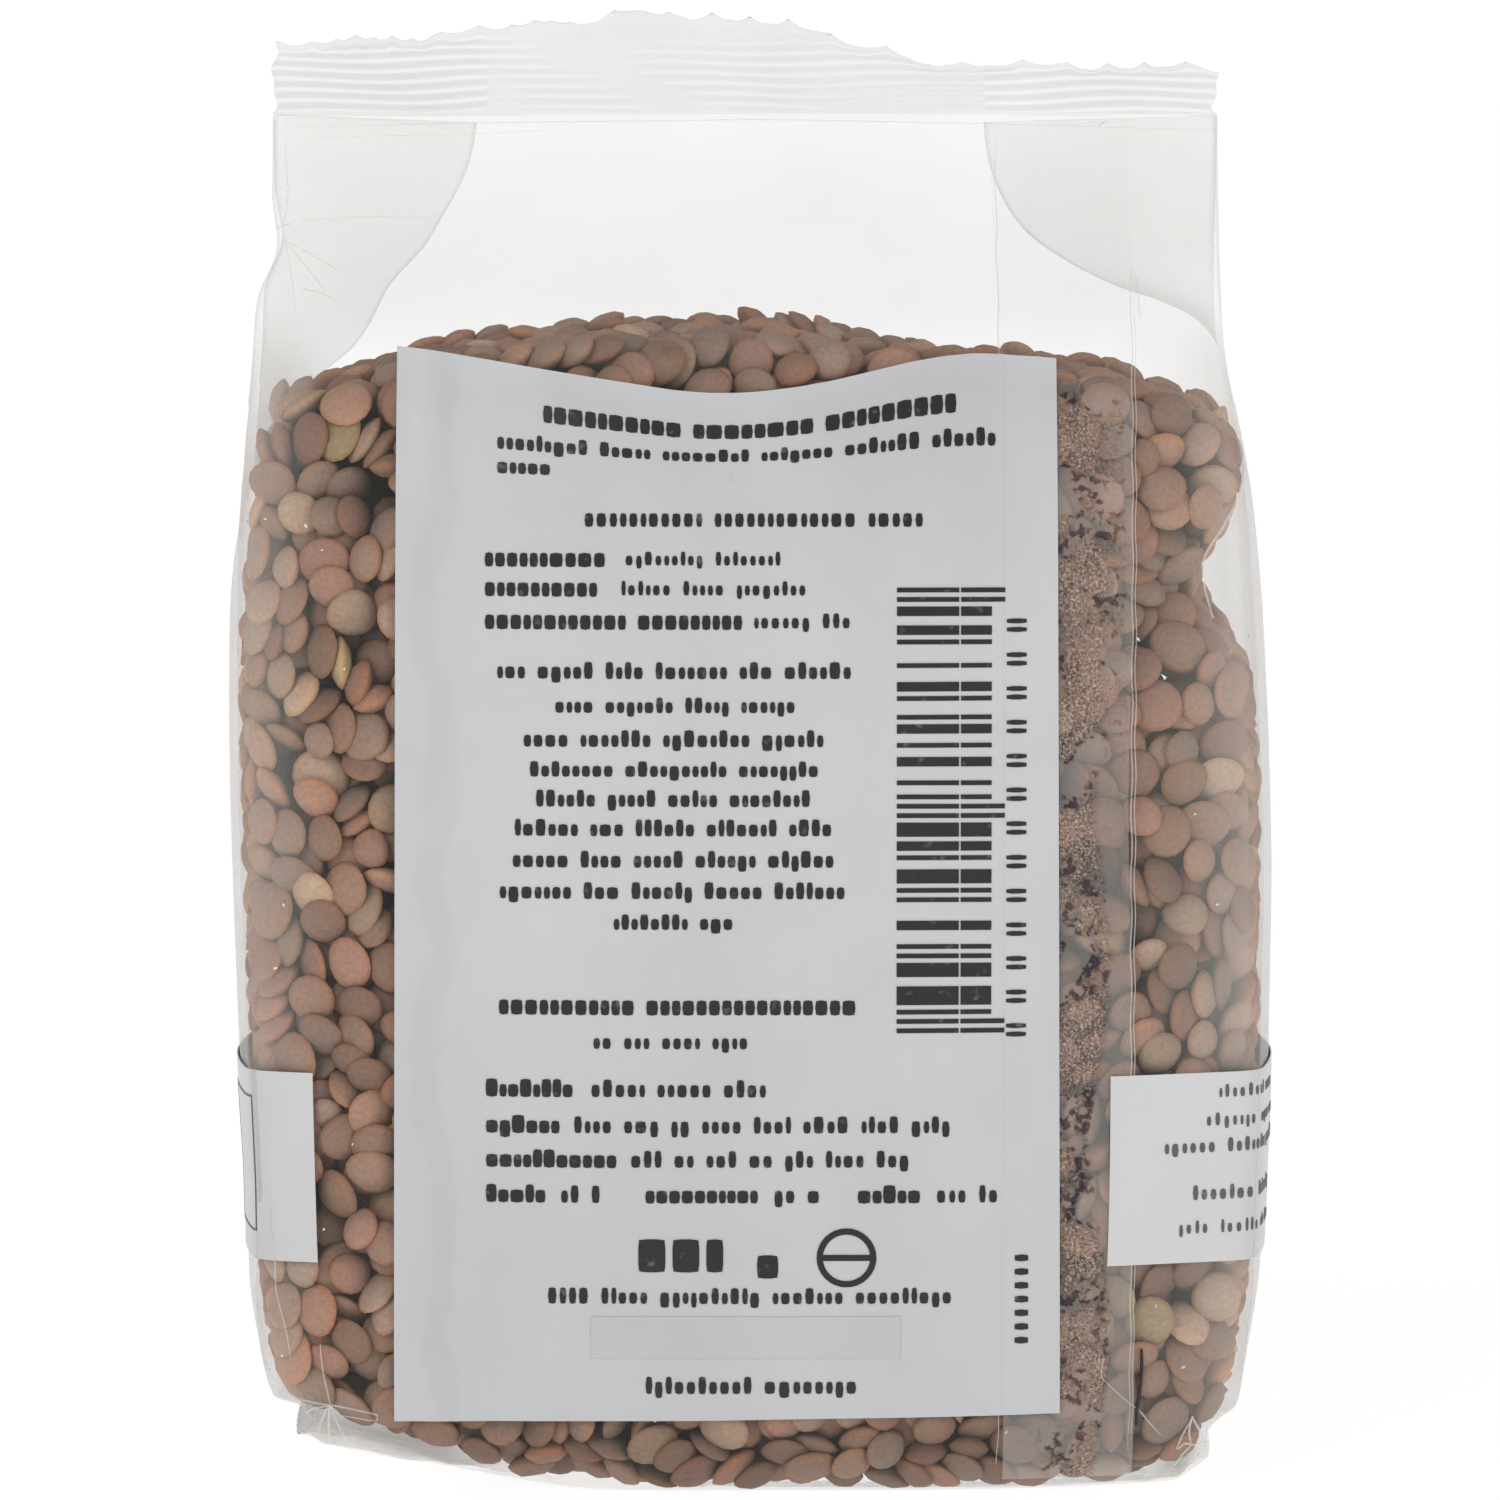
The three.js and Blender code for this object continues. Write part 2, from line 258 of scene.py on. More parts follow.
pack = dict(
    seed=7,
    radius=2.5 * mm, radiusSpread=0.085,
    half=1.13 * mm, halfSpread=0.09,  # half the thickness at the middle of a lentil
    rimHalf=0.34 * mm,  # and at its rim
    shell=8.6 * mm,  # how deep from the film the lentils lie
    fill=0.68,
    steps=230, growSteps=140, startSize=0.62,
    tooDeep=0.6 * mm,  # a lens that still reaches this far into another one is left out
    # the heap's top from left to right, highest left of the middle and lowest at the right, in mm
    heapPlaces=(-50, -42, -37, -25, -16, 0, 11, 19, 25, 30, 36, 42, 48),
    heapTops=(108.2, 109.6, 110.3, 112.5, 114.4, 114.0, 113.1, 112.2, 111.3, 110.9, 108.9, 107.6, 105.2),
    clearance=0.16 * mm, pitch=2.4 * mm,
    sideGap=0.9 * mm,  # the film stands off the lentils along both sides
    dent=dict(z=88.9 * mm, y=-6 * mm, tall=5.2 * mm, deep=26 * mm, depth=6.4 * mm),  # slack film at the right
    pairsEvery=6, pairReach=1.2 * mm, ease=0.03 * mm, easeStops=25, rimTurns=14,
    # lentils this near the film are modelled finely; some have a dent in each face, and none is quite round
    fineTo=5.2 * mm, dentShare=0.35, dents=(0.05, 0.28), narrowest=0.9, wobble=0.035,
)


def heapHeight(x, y):
    wave = 0.6 * mm * np.sin(x * 190 + 1) + 0.5 * mm * np.sin(y * 260 + x * 90)
    return np.interp(x / mm, pack["heapPlaces"], pack["heapTops"]) * mm + wave


# The base is folded up into a band of doubled film, highest at the corners, which holds the lentils up
baseFold = dict(
    places=(-46, -40, -35, -30, -22, -14, 25, 38, 44),
    heights=(8.2, 6.2, 4.8, 3.1, 0.8, -0.4, -0.5, 0.3, 2.6),
    haze=0.56, fade=1.6 * mm,
)


def foldTop(x):
    return np.interp(x / mm, baseFold["places"], baseFold["heights"]) * mm


def dentDepth(x, y, z):
    dent = pack["dent"]
    place = np.exp(-(((z - dent["z"]) / dent["tall"]) ** 2) - ((y - dent["y"]) / dent["deep"]) ** 2)
    return dent["depth"] * place * (x > 20 * mm)


# How deep a point lies below the film, and below the top of the heap
class DepthField:
    def __init__(self, piece):
        pitch = pack["pitch"]
        points = getPoints(piece)
        low = points.min(0) - 2 * pitch
        high = points.max(0) + 2 * pitch
        high[2] = min(high[2], max(pack["heapTops"]) * mm + 4 * pitch)
        size = np.ceil((high - low) / pitch).astype(int) + 1
        tree = skinTree(piece)
        depth = np.empty(size)
        for i in range(size[0]):
            for j in range(size[1]):
                for k in range(size[2]):
                    point = Vector((low[0] + i * pitch, low[1] + j * pitch, low[2] + k * pitch))
                    nearest, normal, _, distance = tree.find_nearest(point)
                    depth[i, j, k] = distance if (point - nearest).dot(normal) < 0 else -distance
        self.pitch, self.low, self.size = pitch, low, size
        grid = [low[a] + np.arange(size[a]) * pitch for a in range(3)]
        x, y, z = np.meshgrid(*grid, indexing="ij")
        sides = pack["sideGap"] * smoothStep(42 * mm, 49 * mm, np.abs(x))
        sides = sides * (1 - 0.8 * smoothStep(95 * mm, 102 * mm, z))
        depth = np.minimum(depth - dentDepth(x, y, z) - sides, z - foldTop(x))
        self.film = depth
        self.both = np.minimum(depth, heapHeight(x, y) - z)
        self.volume = np.count_nonzero((self.both > 0) & (self.both < pack["shell"])) * pitch ** 3
        self.filmSlope = np.gradient(self.film, pitch)
        self.bothSlope = np.gradient(self.both, pitch)

    def read(self, points, values):
        place = (points - self.low) / self.pitch
        corner = np.clip(np.floor(place).astype(int), 0, self.size - 2)
        share = np.clip(place - corner, 0, 1)
        total = 0
        for dx, dy, dz in np.ndindex(2, 2, 2):
            weight = np.abs(1 - dx - share[:, 0]) * np.abs(1 - dy - share[:, 1])
            weight = weight * np.abs(1 - dz - share[:, 2])
            total = total + weight * values[corner[:, 0] + dx, corner[:, 1] + dy, corner[:, 2] + dz]
        return total

    def at(self, points, whole=True):
        values, slopes = (self.both, self.bothSlope) if whole else (self.film, self.filmSlope)
        inward = np.stack([self.read(points, slope) for slope in slopes], axis=1)
        inward /= np.maximum(np.linalg.norm(inward, axis=1, keepdims=True), 1e-9)
        return self.read(points, values), inward


def neighbourPairs(places, reach):
    tree = KDTree(len(places))
    for i, place in enumerate(places):
        tree.insert(place, i)
    tree.balance()
    first, second = [], []
    for i, place in enumerate(places):
        for _, j, _ in tree.find_range(place, reach):
            if j > i:
                first.append(i)
                second.append(j)
    return np.array(first), np.array(second)


def onDisc(points, middles, axes, radii):
    away = points - middles
    away -= dots(away, axes)[:, None] * axes
    length = np.linalg.norm(away, axis=1)
    return middles + away * np.minimum(1, radii / np.maximum(length, 1e-9))[:, None]


def summed(index, values, count):
    return np.stack([np.bincount(index, weights=values[:, a], minlength=count) for a in range(3)], axis=1)


# Where the middle discs of two lenses come nearest, and how far the two lenses overlap there
def contacts(places, axes, discs, rims, bulges, first, second):
    onSecond = places[second]
    for _ in range(3):
        onFirst = onDisc(onSecond, places[first], axes[first], discs[first])
        onSecond = onDisc(onFirst, places[second], axes[second], discs[second])
    gap = onFirst - onSecond
    distance = np.linalg.norm(gap, axis=1)
    apart = unit(places[first] - places[second])
    way = np.where((distance > 0.05 * mm)[:, None], gap / np.maximum(distance, 1e-9)[:, None], apart)
    armFirst = onFirst - places[first]
    armSecond = onSecond - places[second]
    thickness = (
        2 * rims
        + bulges[first] * (1 - dots(armFirst, armFirst) / discs[first] ** 2)
        + bulges[second] * (1 - dots(armSecond, armSecond) / discs[second] ** 2)
    )
    return armFirst, armSecond, way, thickness - distance


# At the end, a lens whose rim or face still reaches through the film is moved in by as much
def lastShift(field, places, axes, radii, halves):
    side, other = squareTo(axes)
    moved = np.zeros_like(places)
    for _ in range(3):
        turns = np.linspace(0, 2 * math.pi, pack["rimTurns"], endpoint=False)
        reaches = [(math.cos(turn) * side + math.sin(turn) * other) * radii[:, None] for turn in turns]
        for reach in reaches + [-axes * halves[:, None], axes * halves[:, None]]:
            depth, inward = field.at(places + moved + reach, whole=False)
            moved += np.maximum(pack["clearance"] - depth, 0)[:, None] * inward
    return moved


def packLentils(field):
    random = np.random.default_rng(pack["seed"])
    radius, half, rimHalf, shell = pack["radius"], pack["half"], pack["rimHalf"], pack["shell"]
    volume = 4 / 3 * math.pi * radius * radius * half * 0.92
    count = int(pack["fill"] * field.volume / volume)
    places = np.empty((0, 3))
    high = field.low + field.size * field.pitch
    while len(places) < count:
        more = random.uniform(field.low, high, (count * 4, 3))
        depth, _ = field.at(more)
        places = np.vstack([places, more[(depth > 0.8 * half) & (depth < shell)]])
    places = places[:count]
    axes = unit(random.normal(size=(count, 3)))
    radii = radius * np.clip(random.normal(1, pack["radiusSpread"], count), 0.8, 1.18)
    halves = half * np.clip(random.normal(1, pack["halfSpread"], count), 0.8, 1.2)
    _, inward = field.at(places)
    axes = unit(axes + 0.9 * inward * np.sign(dots(axes, inward))[:, None])
    for step in range(pack["steps"]):
        size = min(1.0, pack["startSize"] + (1 - pack["startSize"]) * step / pack["growSteps"])
        if step % pack["pairsEvery"] == 0:
            first, second = neighbourPairs(places, 2 * radii.max() * size + pack["pairReach"])
        discs = (radii - rimHalf) * size
        rims = rimHalf * size
        bulges = (halves - rimHalf) * size
        armFirst, armSecond, way, overlap = contacts(places, axes, discs, rims, bulges, first, second)
        hit = overlap > 0
        push = 0.5 * overlap[hit, None] * way[hit]
        a, b = first[hit], second[hit]
        shift = summed(a, push, count) - summed(b, push, count)
        turn = summed(a, np.cross(armFirst[hit], push), count)
        turn -= summed(b, np.cross(armSecond[hit], push), count)
        touches = np.bincount(a, minlength=count) + np.bincount(b, minlength=count)
        # Against the film: the middle of the lens, and the point of its rim nearest the film
        depth, inward = field.at(places)
        lean = dots(inward, axes)
        need = (rims + bulges) * np.abs(lean) + rims * (1 - np.abs(lean)) + pack["clearance"]
        short = np.maximum(need - depth, 0)
        wall = short[:, None] * inward
        filmDepth, filmInward = field.at(places, whole=False)
        flat = filmInward - dots(filmInward, axes)[:, None] * axes
        armRim = -unit(flat) * discs[:, None]
        rimDepth, rimInward = field.at(places + armRim, whole=False)
        rimShort = np.maximum(rims + pack["clearance"] - rimDepth, 0)
        rimPush = rimShort[:, None] * rimInward
        wall += 0.5 * rimPush
        turn += 1.5 * np.cross(armRim, rimPush)
        # Kept within the shell, and pressed gently outwards and down
        deep = np.maximum(depth - shell, 0)
        shift -= 0.5 * deep[:, None] * inward
        places = places + 1.5 * shift / np.maximum(touches, 1.5)[:, None] + wall
        ease = pack["ease"] if step < pack["steps"] - pack["easeStops"] else 0
        places -= ease * inward
        inertia = 0.45 * radii ** 2 * np.maximum(touches, 1)
        axes = unit(axes + np.cross(1.3 * turn / inertia[:, None], axes))
        # The lentils on top of the heap settle onto their flat sides
        onTop = (depth < 3 * mm) & (filmDepth - depth > 0.6 * mm)
        axes = unit(axes + 0.06 * (onTop * np.sign(dots(axes, inward)))[:, None] * inward)
    places = places + lastShift(field, places, axes, radii, halves)
    first, second = neighbourPairs(places, 2 * radii.max())
    overlap = contacts(places, axes, radii - rimHalf, rimHalf, halves - rimHalf, first, second)[3]
    kept = np.ones(count, dtype=bool)
    deep = overlap > pack["tooDeep"]
    for a, b in zip(first[deep], second[deep]):
        if kept[a]:
            kept[b] = False
    places, axes, radii, halves = places[kept], axes[kept], radii[kept], halves[kept]
    depth, _ = field.at(places)
    print("lentils packed:", len(places), "of", count)
    return places, axes, radii, halves, depth


lens = dict(
    fine=dict(around=16, rings=6), plain=dict(around=10, rings=4),
    pinch=0.74,  # thins the shoulder of the round form into a lens
)


def modelLens(name, around, rings):
    deselectAll()
    bpy.ops.mesh.primitive_uv_sphere_add(segments=around, ring_count=rings, radius=1, location=(0, 0, 0))
    piece = newest(name)
    startEdit(piece)
    points = getPoints(piece)
    reach = np.hypot(points[:, 0], points[:, 1])
    selectVertices(piece, (reach > 0.6) & (reach < 0.95))
    bpy.ops.transform.resize(value=(1, 1, lens["pinch"]), center_override=(0, 0, 0))
    bpy.ops.mesh.select_all(action="SELECT")
    bpy.ops.mesh.quads_convert_to_tris()
    endEdit()
    points = getPoints(piece)
    corners = np.array([tuple(face.vertices) for face in piece.data.polygons])
    bpy.data.objects.remove(piece)
    return points, corners


def meshFromArrays(name, points, corners):
    mesh = bpy.data.meshes.new(name)
    mesh.vertices.add(len(points))
    mesh.loops.add(corners.size)
    mesh.polygons.add(len(corners))
    mesh.vertices.foreach_set("co", points.astype(np.float32).ravel())
    mesh.loops.foreach_set("vertex_index", corners.astype(np.int32).ravel())
    mesh.polygons.foreach_set("loop_start", np.arange(0, corners.size, 3, dtype=np.int32))
    mesh.polygons.foreach_set("use_smooth", np.full(len(corners), True))
    mesh.update(calc_edges=True)
    return linked(name, mesh)


def addValues(piece, name, values):
    layer = piece.data.attributes.get(name) or piece.data.attributes.new(name, "FLOAT", "POINT")
    layer.data.foreach_set("value", values.astype(np.float32))


# Lentil kinds: share of the whole, the two colours that mottle the faces, and the colour of the rim
kinds = [dict(zip(("name", "share", "face", "mottle", "rim"), row)) for row in (
    ("lentils_umber", 0.21, (0.270, 0.166, 0.119), (0.292, 0.167, 0.112), (0.353, 0.177, 0.100)),
    ("lentils_brown", 0.22, (0.314, 0.197, 0.142), (0.336, 0.190, 0.128), (0.397, 0.199, 0.113)),
    ("lentils_grey", 0.22, (0.319, 0.224, 0.171), (0.325, 0.208, 0.151), (0.381, 0.220, 0.138)),
    ("lentils_rosy", 0.18, (0.292, 0.170, 0.126), (0.325, 0.174, 0.122), (0.387, 0.181, 0.106)),
    ("lentils_rust", 0.07, (0.338, 0.189, 0.125), (0.353, 0.183, 0.114), (0.454, 0.188, 0.091)),
    ("lentils_pale", 0.085, (0.418, 0.298, 0.213), (0.413, 0.271, 0.182), (0.469, 0.280, 0.165)),
    ("lentils_green", 0.015, (0.386, 0.288, 0.171), (0.378, 0.268, 0.152), (0.456, 0.285, 0.131)),
)]


def placeLentils(field, places, axes, radii, halves, depth):
    random = np.random.default_rng(pack["seed"] + 1)
    count = len(places)
    spin = random.uniform(0, 2 * math.pi, count)
    side, other = squareTo(axes)
    alongX = np.cos(spin)[:, None] * side + np.sin(spin)[:, None] * other
    alongY = np.cross(axes, alongX)
    narrow = random.uniform(pack["narrowest"], 1.0, count)
    chosen = random.choice(len(kinds), count, p=[kind["share"] for kind in kinds])
    tint = random.uniform(0, 1, count)
    wobble = random.uniform(0, pack["wobble"], (count, 2))
    phase = random.uniform(0, 2 * math.pi, (count, 2))
    dent = np.where(random.uniform(size=count) < pack["dentShare"], random.uniform(*pack["dents"], count), 0)
    forms = {which: modelLens("lens", **lens[which]) for which in ("fine", "plain")}
    fineOnes = depth < pack["fineTo"]
    pieces = []
    for number, kind in enumerate(kinds):
        allPoints, allCorners, allTint, allRim, base = [], [], [], [], 0
        for which, mask in (("fine", fineOnes), ("plain", ~fineOnes)):
            index = np.nonzero((chosen == number) & mask)[0]
            form, corners = forms[which]
            if not len(index):
                continue
            reach = np.hypot(form[:, 0], form[:, 1])
            angle = np.arctan2(form[:, 1], form[:, 0])
            uneven = 1 + wobble[index, 0:1] * np.cos(2 * angle + phase[index, 0:1])
            uneven += wobble[index, 1:2] * np.cos(3 * angle + phase[index, 1:2])
            hollow = 1 - dent[index, None] * np.clip(1 - reach / 0.6, 0, 1)
            x = form[:, 0] * radii[index, None] * uneven
            y = form[:, 1] * (radii * narrow)[index, None] * uneven
            z = form[:, 2] * halves[index, None] * hollow
            points = (
                places[index, None, :]
                + x[:, :, None] * alongX[index, None, :]
                + y[:, :, None] * alongY[index, None, :]
                + z[:, :, None] * axes[index, None, :]
            )
            allPoints.append(points.reshape(-1, 3))
            offsets = base + np.arange(len(index))[:, None, None] * len(form)
            allCorners.append((corners[None] + offsets).reshape(-1, 3))
            allTint.append(np.repeat(tint[index], len(form)))
            allRim.append(np.tile(reach, len(index)))
            base += len(index) * len(form)
        points = np.vstack(allPoints)
        piece = meshFromArrays(kind["name"], points, np.vstack(allCorners))
        addValues(piece, "tint", np.concatenate(allTint))
        addValues(piece, "rim", np.concatenate(allRim))
        # Painted shade and light: the deep ones and the base are darkened in colour as if in shade, and those
        # at both sides are lightened as if light comes in there
        deep = smoothStep(1.2 * mm, 4.2 * mm, field.read(points, field.both))
        shaded = np.maximum(deep, 0.6 * (1 - smoothStep(3.5 * mm, 13 * mm, points[:, 2])))
        addValues(piece, "painted_shade", shaded - 0.6 * smoothStep(41 * mm, 50 * mm, np.abs(points[:, 0])))
        pieces.append(piece)
        print(kind["name"], "triangles", len(piece.data.polygons))
    return pieces


core = dict(inset=9.2 * mm, bevel=9 * mm, under=13 * mm, across=4 * mm, deep=2 * mm)


def buildCore():
    low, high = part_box("bag")
    inset = core["inset"]
    top = max(pack["heapTops"]) * mm - core["under"]
    wide = high.x - low.x - 2 * inset - core["across"]
    thick = high.y - low.y - 2 * inset - core["deep"]
    size = (wide, thick, top - inset)
    deselectAll()
    bpy.ops.mesh.primitive_cube_add(size=1, location=(0, 0, (top + inset) / 2), scale=size)
    piece = newest("lentil_core")
    settle(piece)
    editAll(piece)
    bpy.ops.mesh.bevel(offset=core["bevel"], segments=4)
    bpy.ops.mesh.select_all(action="SELECT")
    bpy.ops.mesh.subdivide(number_cuts=3)
    endEdit()
    return piece


# Drawing the film in over the lentils

draw = dict(
    reach=2.2 * mm, most=0.45 * mm, gap=0.12 * mm, rounds=4, above=0.6 * mm,
    lowZ=2 * mm, lowFull=7 * mm, topZ=112 * mm, topFade=6 * mm,
    cover=0.24 * mm, coverNext=0.6,
)


# How far the lentils lie below each chosen point of the film, or none where there is no lentil in reach
def depthUnder(tree, points, normals, chosen, none):
    depths = np.full(len(points), none)
    above = draw["above"]
    for i in chosen:
        start = points[i] + normals[i] * above
        place, _, _, distance = tree.ray_cast(Vector(start), Vector(-normals[i]), draw["reach"] + above)
        if place is not None:
            depths[i] = distance - above
    return depths


def drawFilmIn(piece, lentils):
    subdivide = piece.modifiers.new("fine", "SUBSURF")
    subdivide.levels = 2
    subdivide.render_levels = 2
    applyModifiers(piece)
    allPoints, allCorners, base = [], [], 0
    for one in lentils:
        points = getPoints(one)
        corners = np.empty(len(one.data.loops), dtype=np.int32)
        one.data.loops.foreach_get("vertex_index", corners)
        allPoints.append(points)
        allCorners.append(corners.reshape(-1, 3) + base)
        base += len(points)
    tree = BVHTree.FromPolygons(np.vstack(allPoints).tolist(), np.vstack(allCorners).tolist())
    points = getPoints(piece)
    normals = getNormals(piece)
    near = np.nonzero((points[:, 2] < draw["topZ"]) & (points[:, 2] > draw["lowZ"]))[0]
    inward = np.zeros(len(points))
    found = depthUnder(tree, points, normals, near, draw["most"] + draw["gap"])
    inward[near] = np.minimum(found[near] - draw["gap"], draw["most"])
    fade = smoothStep(draw["lowZ"], draw["lowFull"], points[:, 2])
    fade *= 1 - smoothStep(draw["topZ"] - draw["topFade"], draw["topZ"], points[:, 2])
    fade *= 1 - smoothStep(0.3, 0.8, np.abs(normals[:, 0]))
    points -= normals * (inward * fade)[:, None]
    setPoints(piece, points)
    startEdit(piece)
    selectVertices(piece, inward * fade > 0.02 * mm)
    bpy.ops.mesh.vertices_smooth(factor=0.5, repeat=draw["rounds"])
    endEdit()
    # Where a lentil would still come through, the film is let out again, and partly so next to it
    points = getPoints(piece)
    out = np.maximum(draw["cover"] - depthUnder(tree, points, normals, near, draw["reach"]), 0)
    ends = np.array([tuple(edge.vertices) for edge in piece.data.edges])
    spread = out.copy()
    np.maximum.at(spread, ends[:, 0], draw["coverNext"] * out[ends[:, 1]])
    np.maximum.at(spread, ends[:, 1], draw["coverNext"] * out[ends[:, 0]])
    points += normals * spread[:, None]
    setPoints(piece, points)
    free = smoothStep(film["freeFrom"], film["freeTo"], points[:, 2])
    side = smoothStep(0.35, 0.8, np.abs(normals[:, 0]))
    panel = film["hazeOver"] + (film["hazeFree"] - film["hazeOver"]) * free
    # painted sheen: the film is made milkier where the panel turns into each side
    most = np.where(points[:, 0] < 0, film["hazeLeftEdge"], film["hazeRightEdge"])
    edge = most * smoothStep(film["edgeFrom"], film["edgeTo"], np.abs(points[:, 0])) * (1 - 0.35 * side)
    right = film["hazeRight"] * smoothStep(36 * mm, 41 * mm, points[:, 0]) * (1 - 0.7 * side)
    addValues(piece, "haze", panel + (film["hazeSide"] - panel) * side + (edge + right) * (1 - free))
    sheen = np.interp(points[:, 2] / mm, film["sheenHeights"], film["sheen"])
    addValues(piece, "sheen", sheen * (1 - film["sideSheen"] * side * (1 - free)))
    print("film drawn in over the lentils:", len(piece.data.polygons), "faces")


# Labels: a flat grid is laid on the film and given thickness

backLabel = dict(
    left=-34.7 * mm, right=30.1 * mm, top=113.65 * mm,
    bottomShares=(0, 0.15, 0.5, 1), bottoms=(7.1, 7.5, 7.75, 8.2),  # the lower edge rises to the right, in mm
    spread=0.5 * mm,  # each side leans out this much towards the bottom
    dipShares=(0, 0.12, 0.25, 0.47, 0.61, 0.72, 0.83, 0.92, 1),
    dips=(0, 1.2, 2.6, 4.75, 4.1, 2.5, 0.8, 0.7, 1.45),  # how far the upper edge hangs, in mm
    flatBelow=97 * mm,  # the lines of print follow the hanging edge down to here
    across=72, up=120, lift=0.42 * mm, thickness=0.12 * mm,
)


def hang(x):
    share = (x - backLabel["left"]) / (backLabel["right"] - backLabel["left"])
    near = [np.interp(share + shift, backLabel["dipShares"], backLabel["dips"]) for shift in (-0.05, 0, 0.05)]
    return sum(near) / 3 * mm


def labelTop(x):
    return backLabel["top"] - hang(x)


def labelBottom(x):
    share = (x - backLabel["left"]) / (backLabel["right"] - backLabel["left"])
    return np.interp(share, backLabel["bottomShares"], backLabel["bottoms"]) * mm


def backY(tree, x, z):
    place, _, _, _ = tree.ray_cast(Vector((x, -0.2, z)), Vector((0, 1, 0)))
    return place.y if place is not None else 0


def labelPlace(u, v):
    x = backLabel["left"] + (backLabel["right"] - backLabel["left"]) * u
    bottom = labelBottom(x)
    z = bottom + (labelTop(x) - bottom) * v
    return x + backLabel["spread"] * (2 * u - 1) * (1 - v), z


def buildBackLabel(tree):
    piece, u, v = gridPiece("label_back", backLabel["across"], backLabel["up"])
    x, z = labelPlace(u, v)
    y = np.array([backY(tree, a, b) for a, b in zip(x, z)])
    y = smoothGrid(y, backLabel["across"] + 1) - backLabel["lift"]
    # Faint upright creases where the film under the label is drawn
    crease = np.exp(-(((u - 0.07 - 0.012 * np.sin(v * 11)) / 0.018) ** 2))
    y -= 0.25 * mm * crease * (0.5 + 0.5 * np.sin(v * 23))
    y -= 0.12 * mm * np.sin(u * 17 + 2 * np.sin(v * 6)) * np.sin(v * 31 + 3 * u)
    setPoints(piece, np.stack([x, y, z], axis=1))
    thicken(piece, backLabel["thickness"])
    print("back label laid on the film")
    return piece


def smoothGrid(values, across, times=4):
    grid = values.reshape(-1, across)
    for _ in range(times):
        padded = np.pad(grid, 1, mode="edge")
        grid = (padded[:-2, 1:-1] + padded[2:, 1:-1] + padded[1:-1, :-2] + padded[1:-1, 2:] + 2 * grid) / 6
    return grid.ravel()


def thicken(piece, thickness):
    editAll(piece, "FACE")
    bpy.ops.mesh.normals_make_consistent(inside=False)
    endEdit()
    facing = piece.data.polygons[len(piece.data.polygons) // 2].normal
    if facing.y > 0:
        piece.data.flip_normals()
    solidify(piece, thickness, -1)
    makeActive(piece)
    bpy.ops.object.shade_smooth_by_angle(angle=math.radians(40))


bandLabel = dict(
    bottom=22.9 * mm, top=41.8 * mm, leftEnd=-42.8 * mm, rightEnd=35.3 * mm,
    along=200, up=14, lift=0.3 * mm, thickness=0.12 * mm,
)


def sectionRing(tree, z, angles):
    ring = []
    for angle in angles:
        way = Vector((math.cos(angle), math.sin(angle), 0))
        place, normal, _, _ = tree.ray_cast(way * 0.2 + Vector((0, 0, z)), -way)
        ring.append((place.x, place.y, place.z, normal.x, normal.y, normal.z))
    return np.array(ring)


def buildBandLabel(tree):
    middle = (bandLabel["bottom"] + bandLabel["top"]) / 2
    fineAngles = np.linspace(-math.pi / 2, 1.5 * math.pi, 1441)
    ring = sectionRing(tree, middle, fineAngles)
    length = lengthAlong(ring[:, :2])
    onBack = ring[:, 1] < 0
    start = length[np.nonzero(onBack & (ring[:, 0] > bandLabel["rightEnd"]))[0][0]]
    end = length[np.nonzero(onBack & (ring[:, 0] < bandLabel["leftEnd"]))[0][-1]]
    angles = np.interp(np.linspace(start, end, bandLabel["along"] + 1), length, fineAngles)
    piece, u, v = gridPiece("label_band", bandLabel["along"], bandLabel["up"])
    column = np.rint(u * bandLabel["along"]).astype(int)
    rows = np.rint(v * bandLabel["up"]).astype(int)
    placed = np.empty((len(u), 3))
    for row in range(bandLabel["up"] + 1):
        z = bandLabel["bottom"] + (bandLabel["top"] - bandLabel["bottom"]) * row / bandLabel["up"]
        line = sectionRing(tree, z, angles)
        for measure in range(6):
            line[:, measure] = smoothLine(line[:, measure])
        line[:, 2] = z
        outward = unit(line[:, 3:] * [1, 1, 0])
        chosen = rows == row
        placed[chosen] = (line[:, :3] + outward * bandLabel["lift"])[column[chosen]]
    setPoints(piece, placed)
    thicken(piece, bandLabel["thickness"])
    print("band label laid round the film")
    return piece, dict(
        length=lengthAlong(line[:, :2]), points=line[:, :2], outward=outward[:, :2], tree=skinTree(piece),
    )


def smoothLine(values, times=6):
    for _ in range(times):
        values = np.concatenate([values[:1], (values[:-2] + 2 * values[1:-1] + values[2:]) / 4, values[-1:]])
    return values


# Print: rows of plain blocks in place of words, in millimetres on the back label

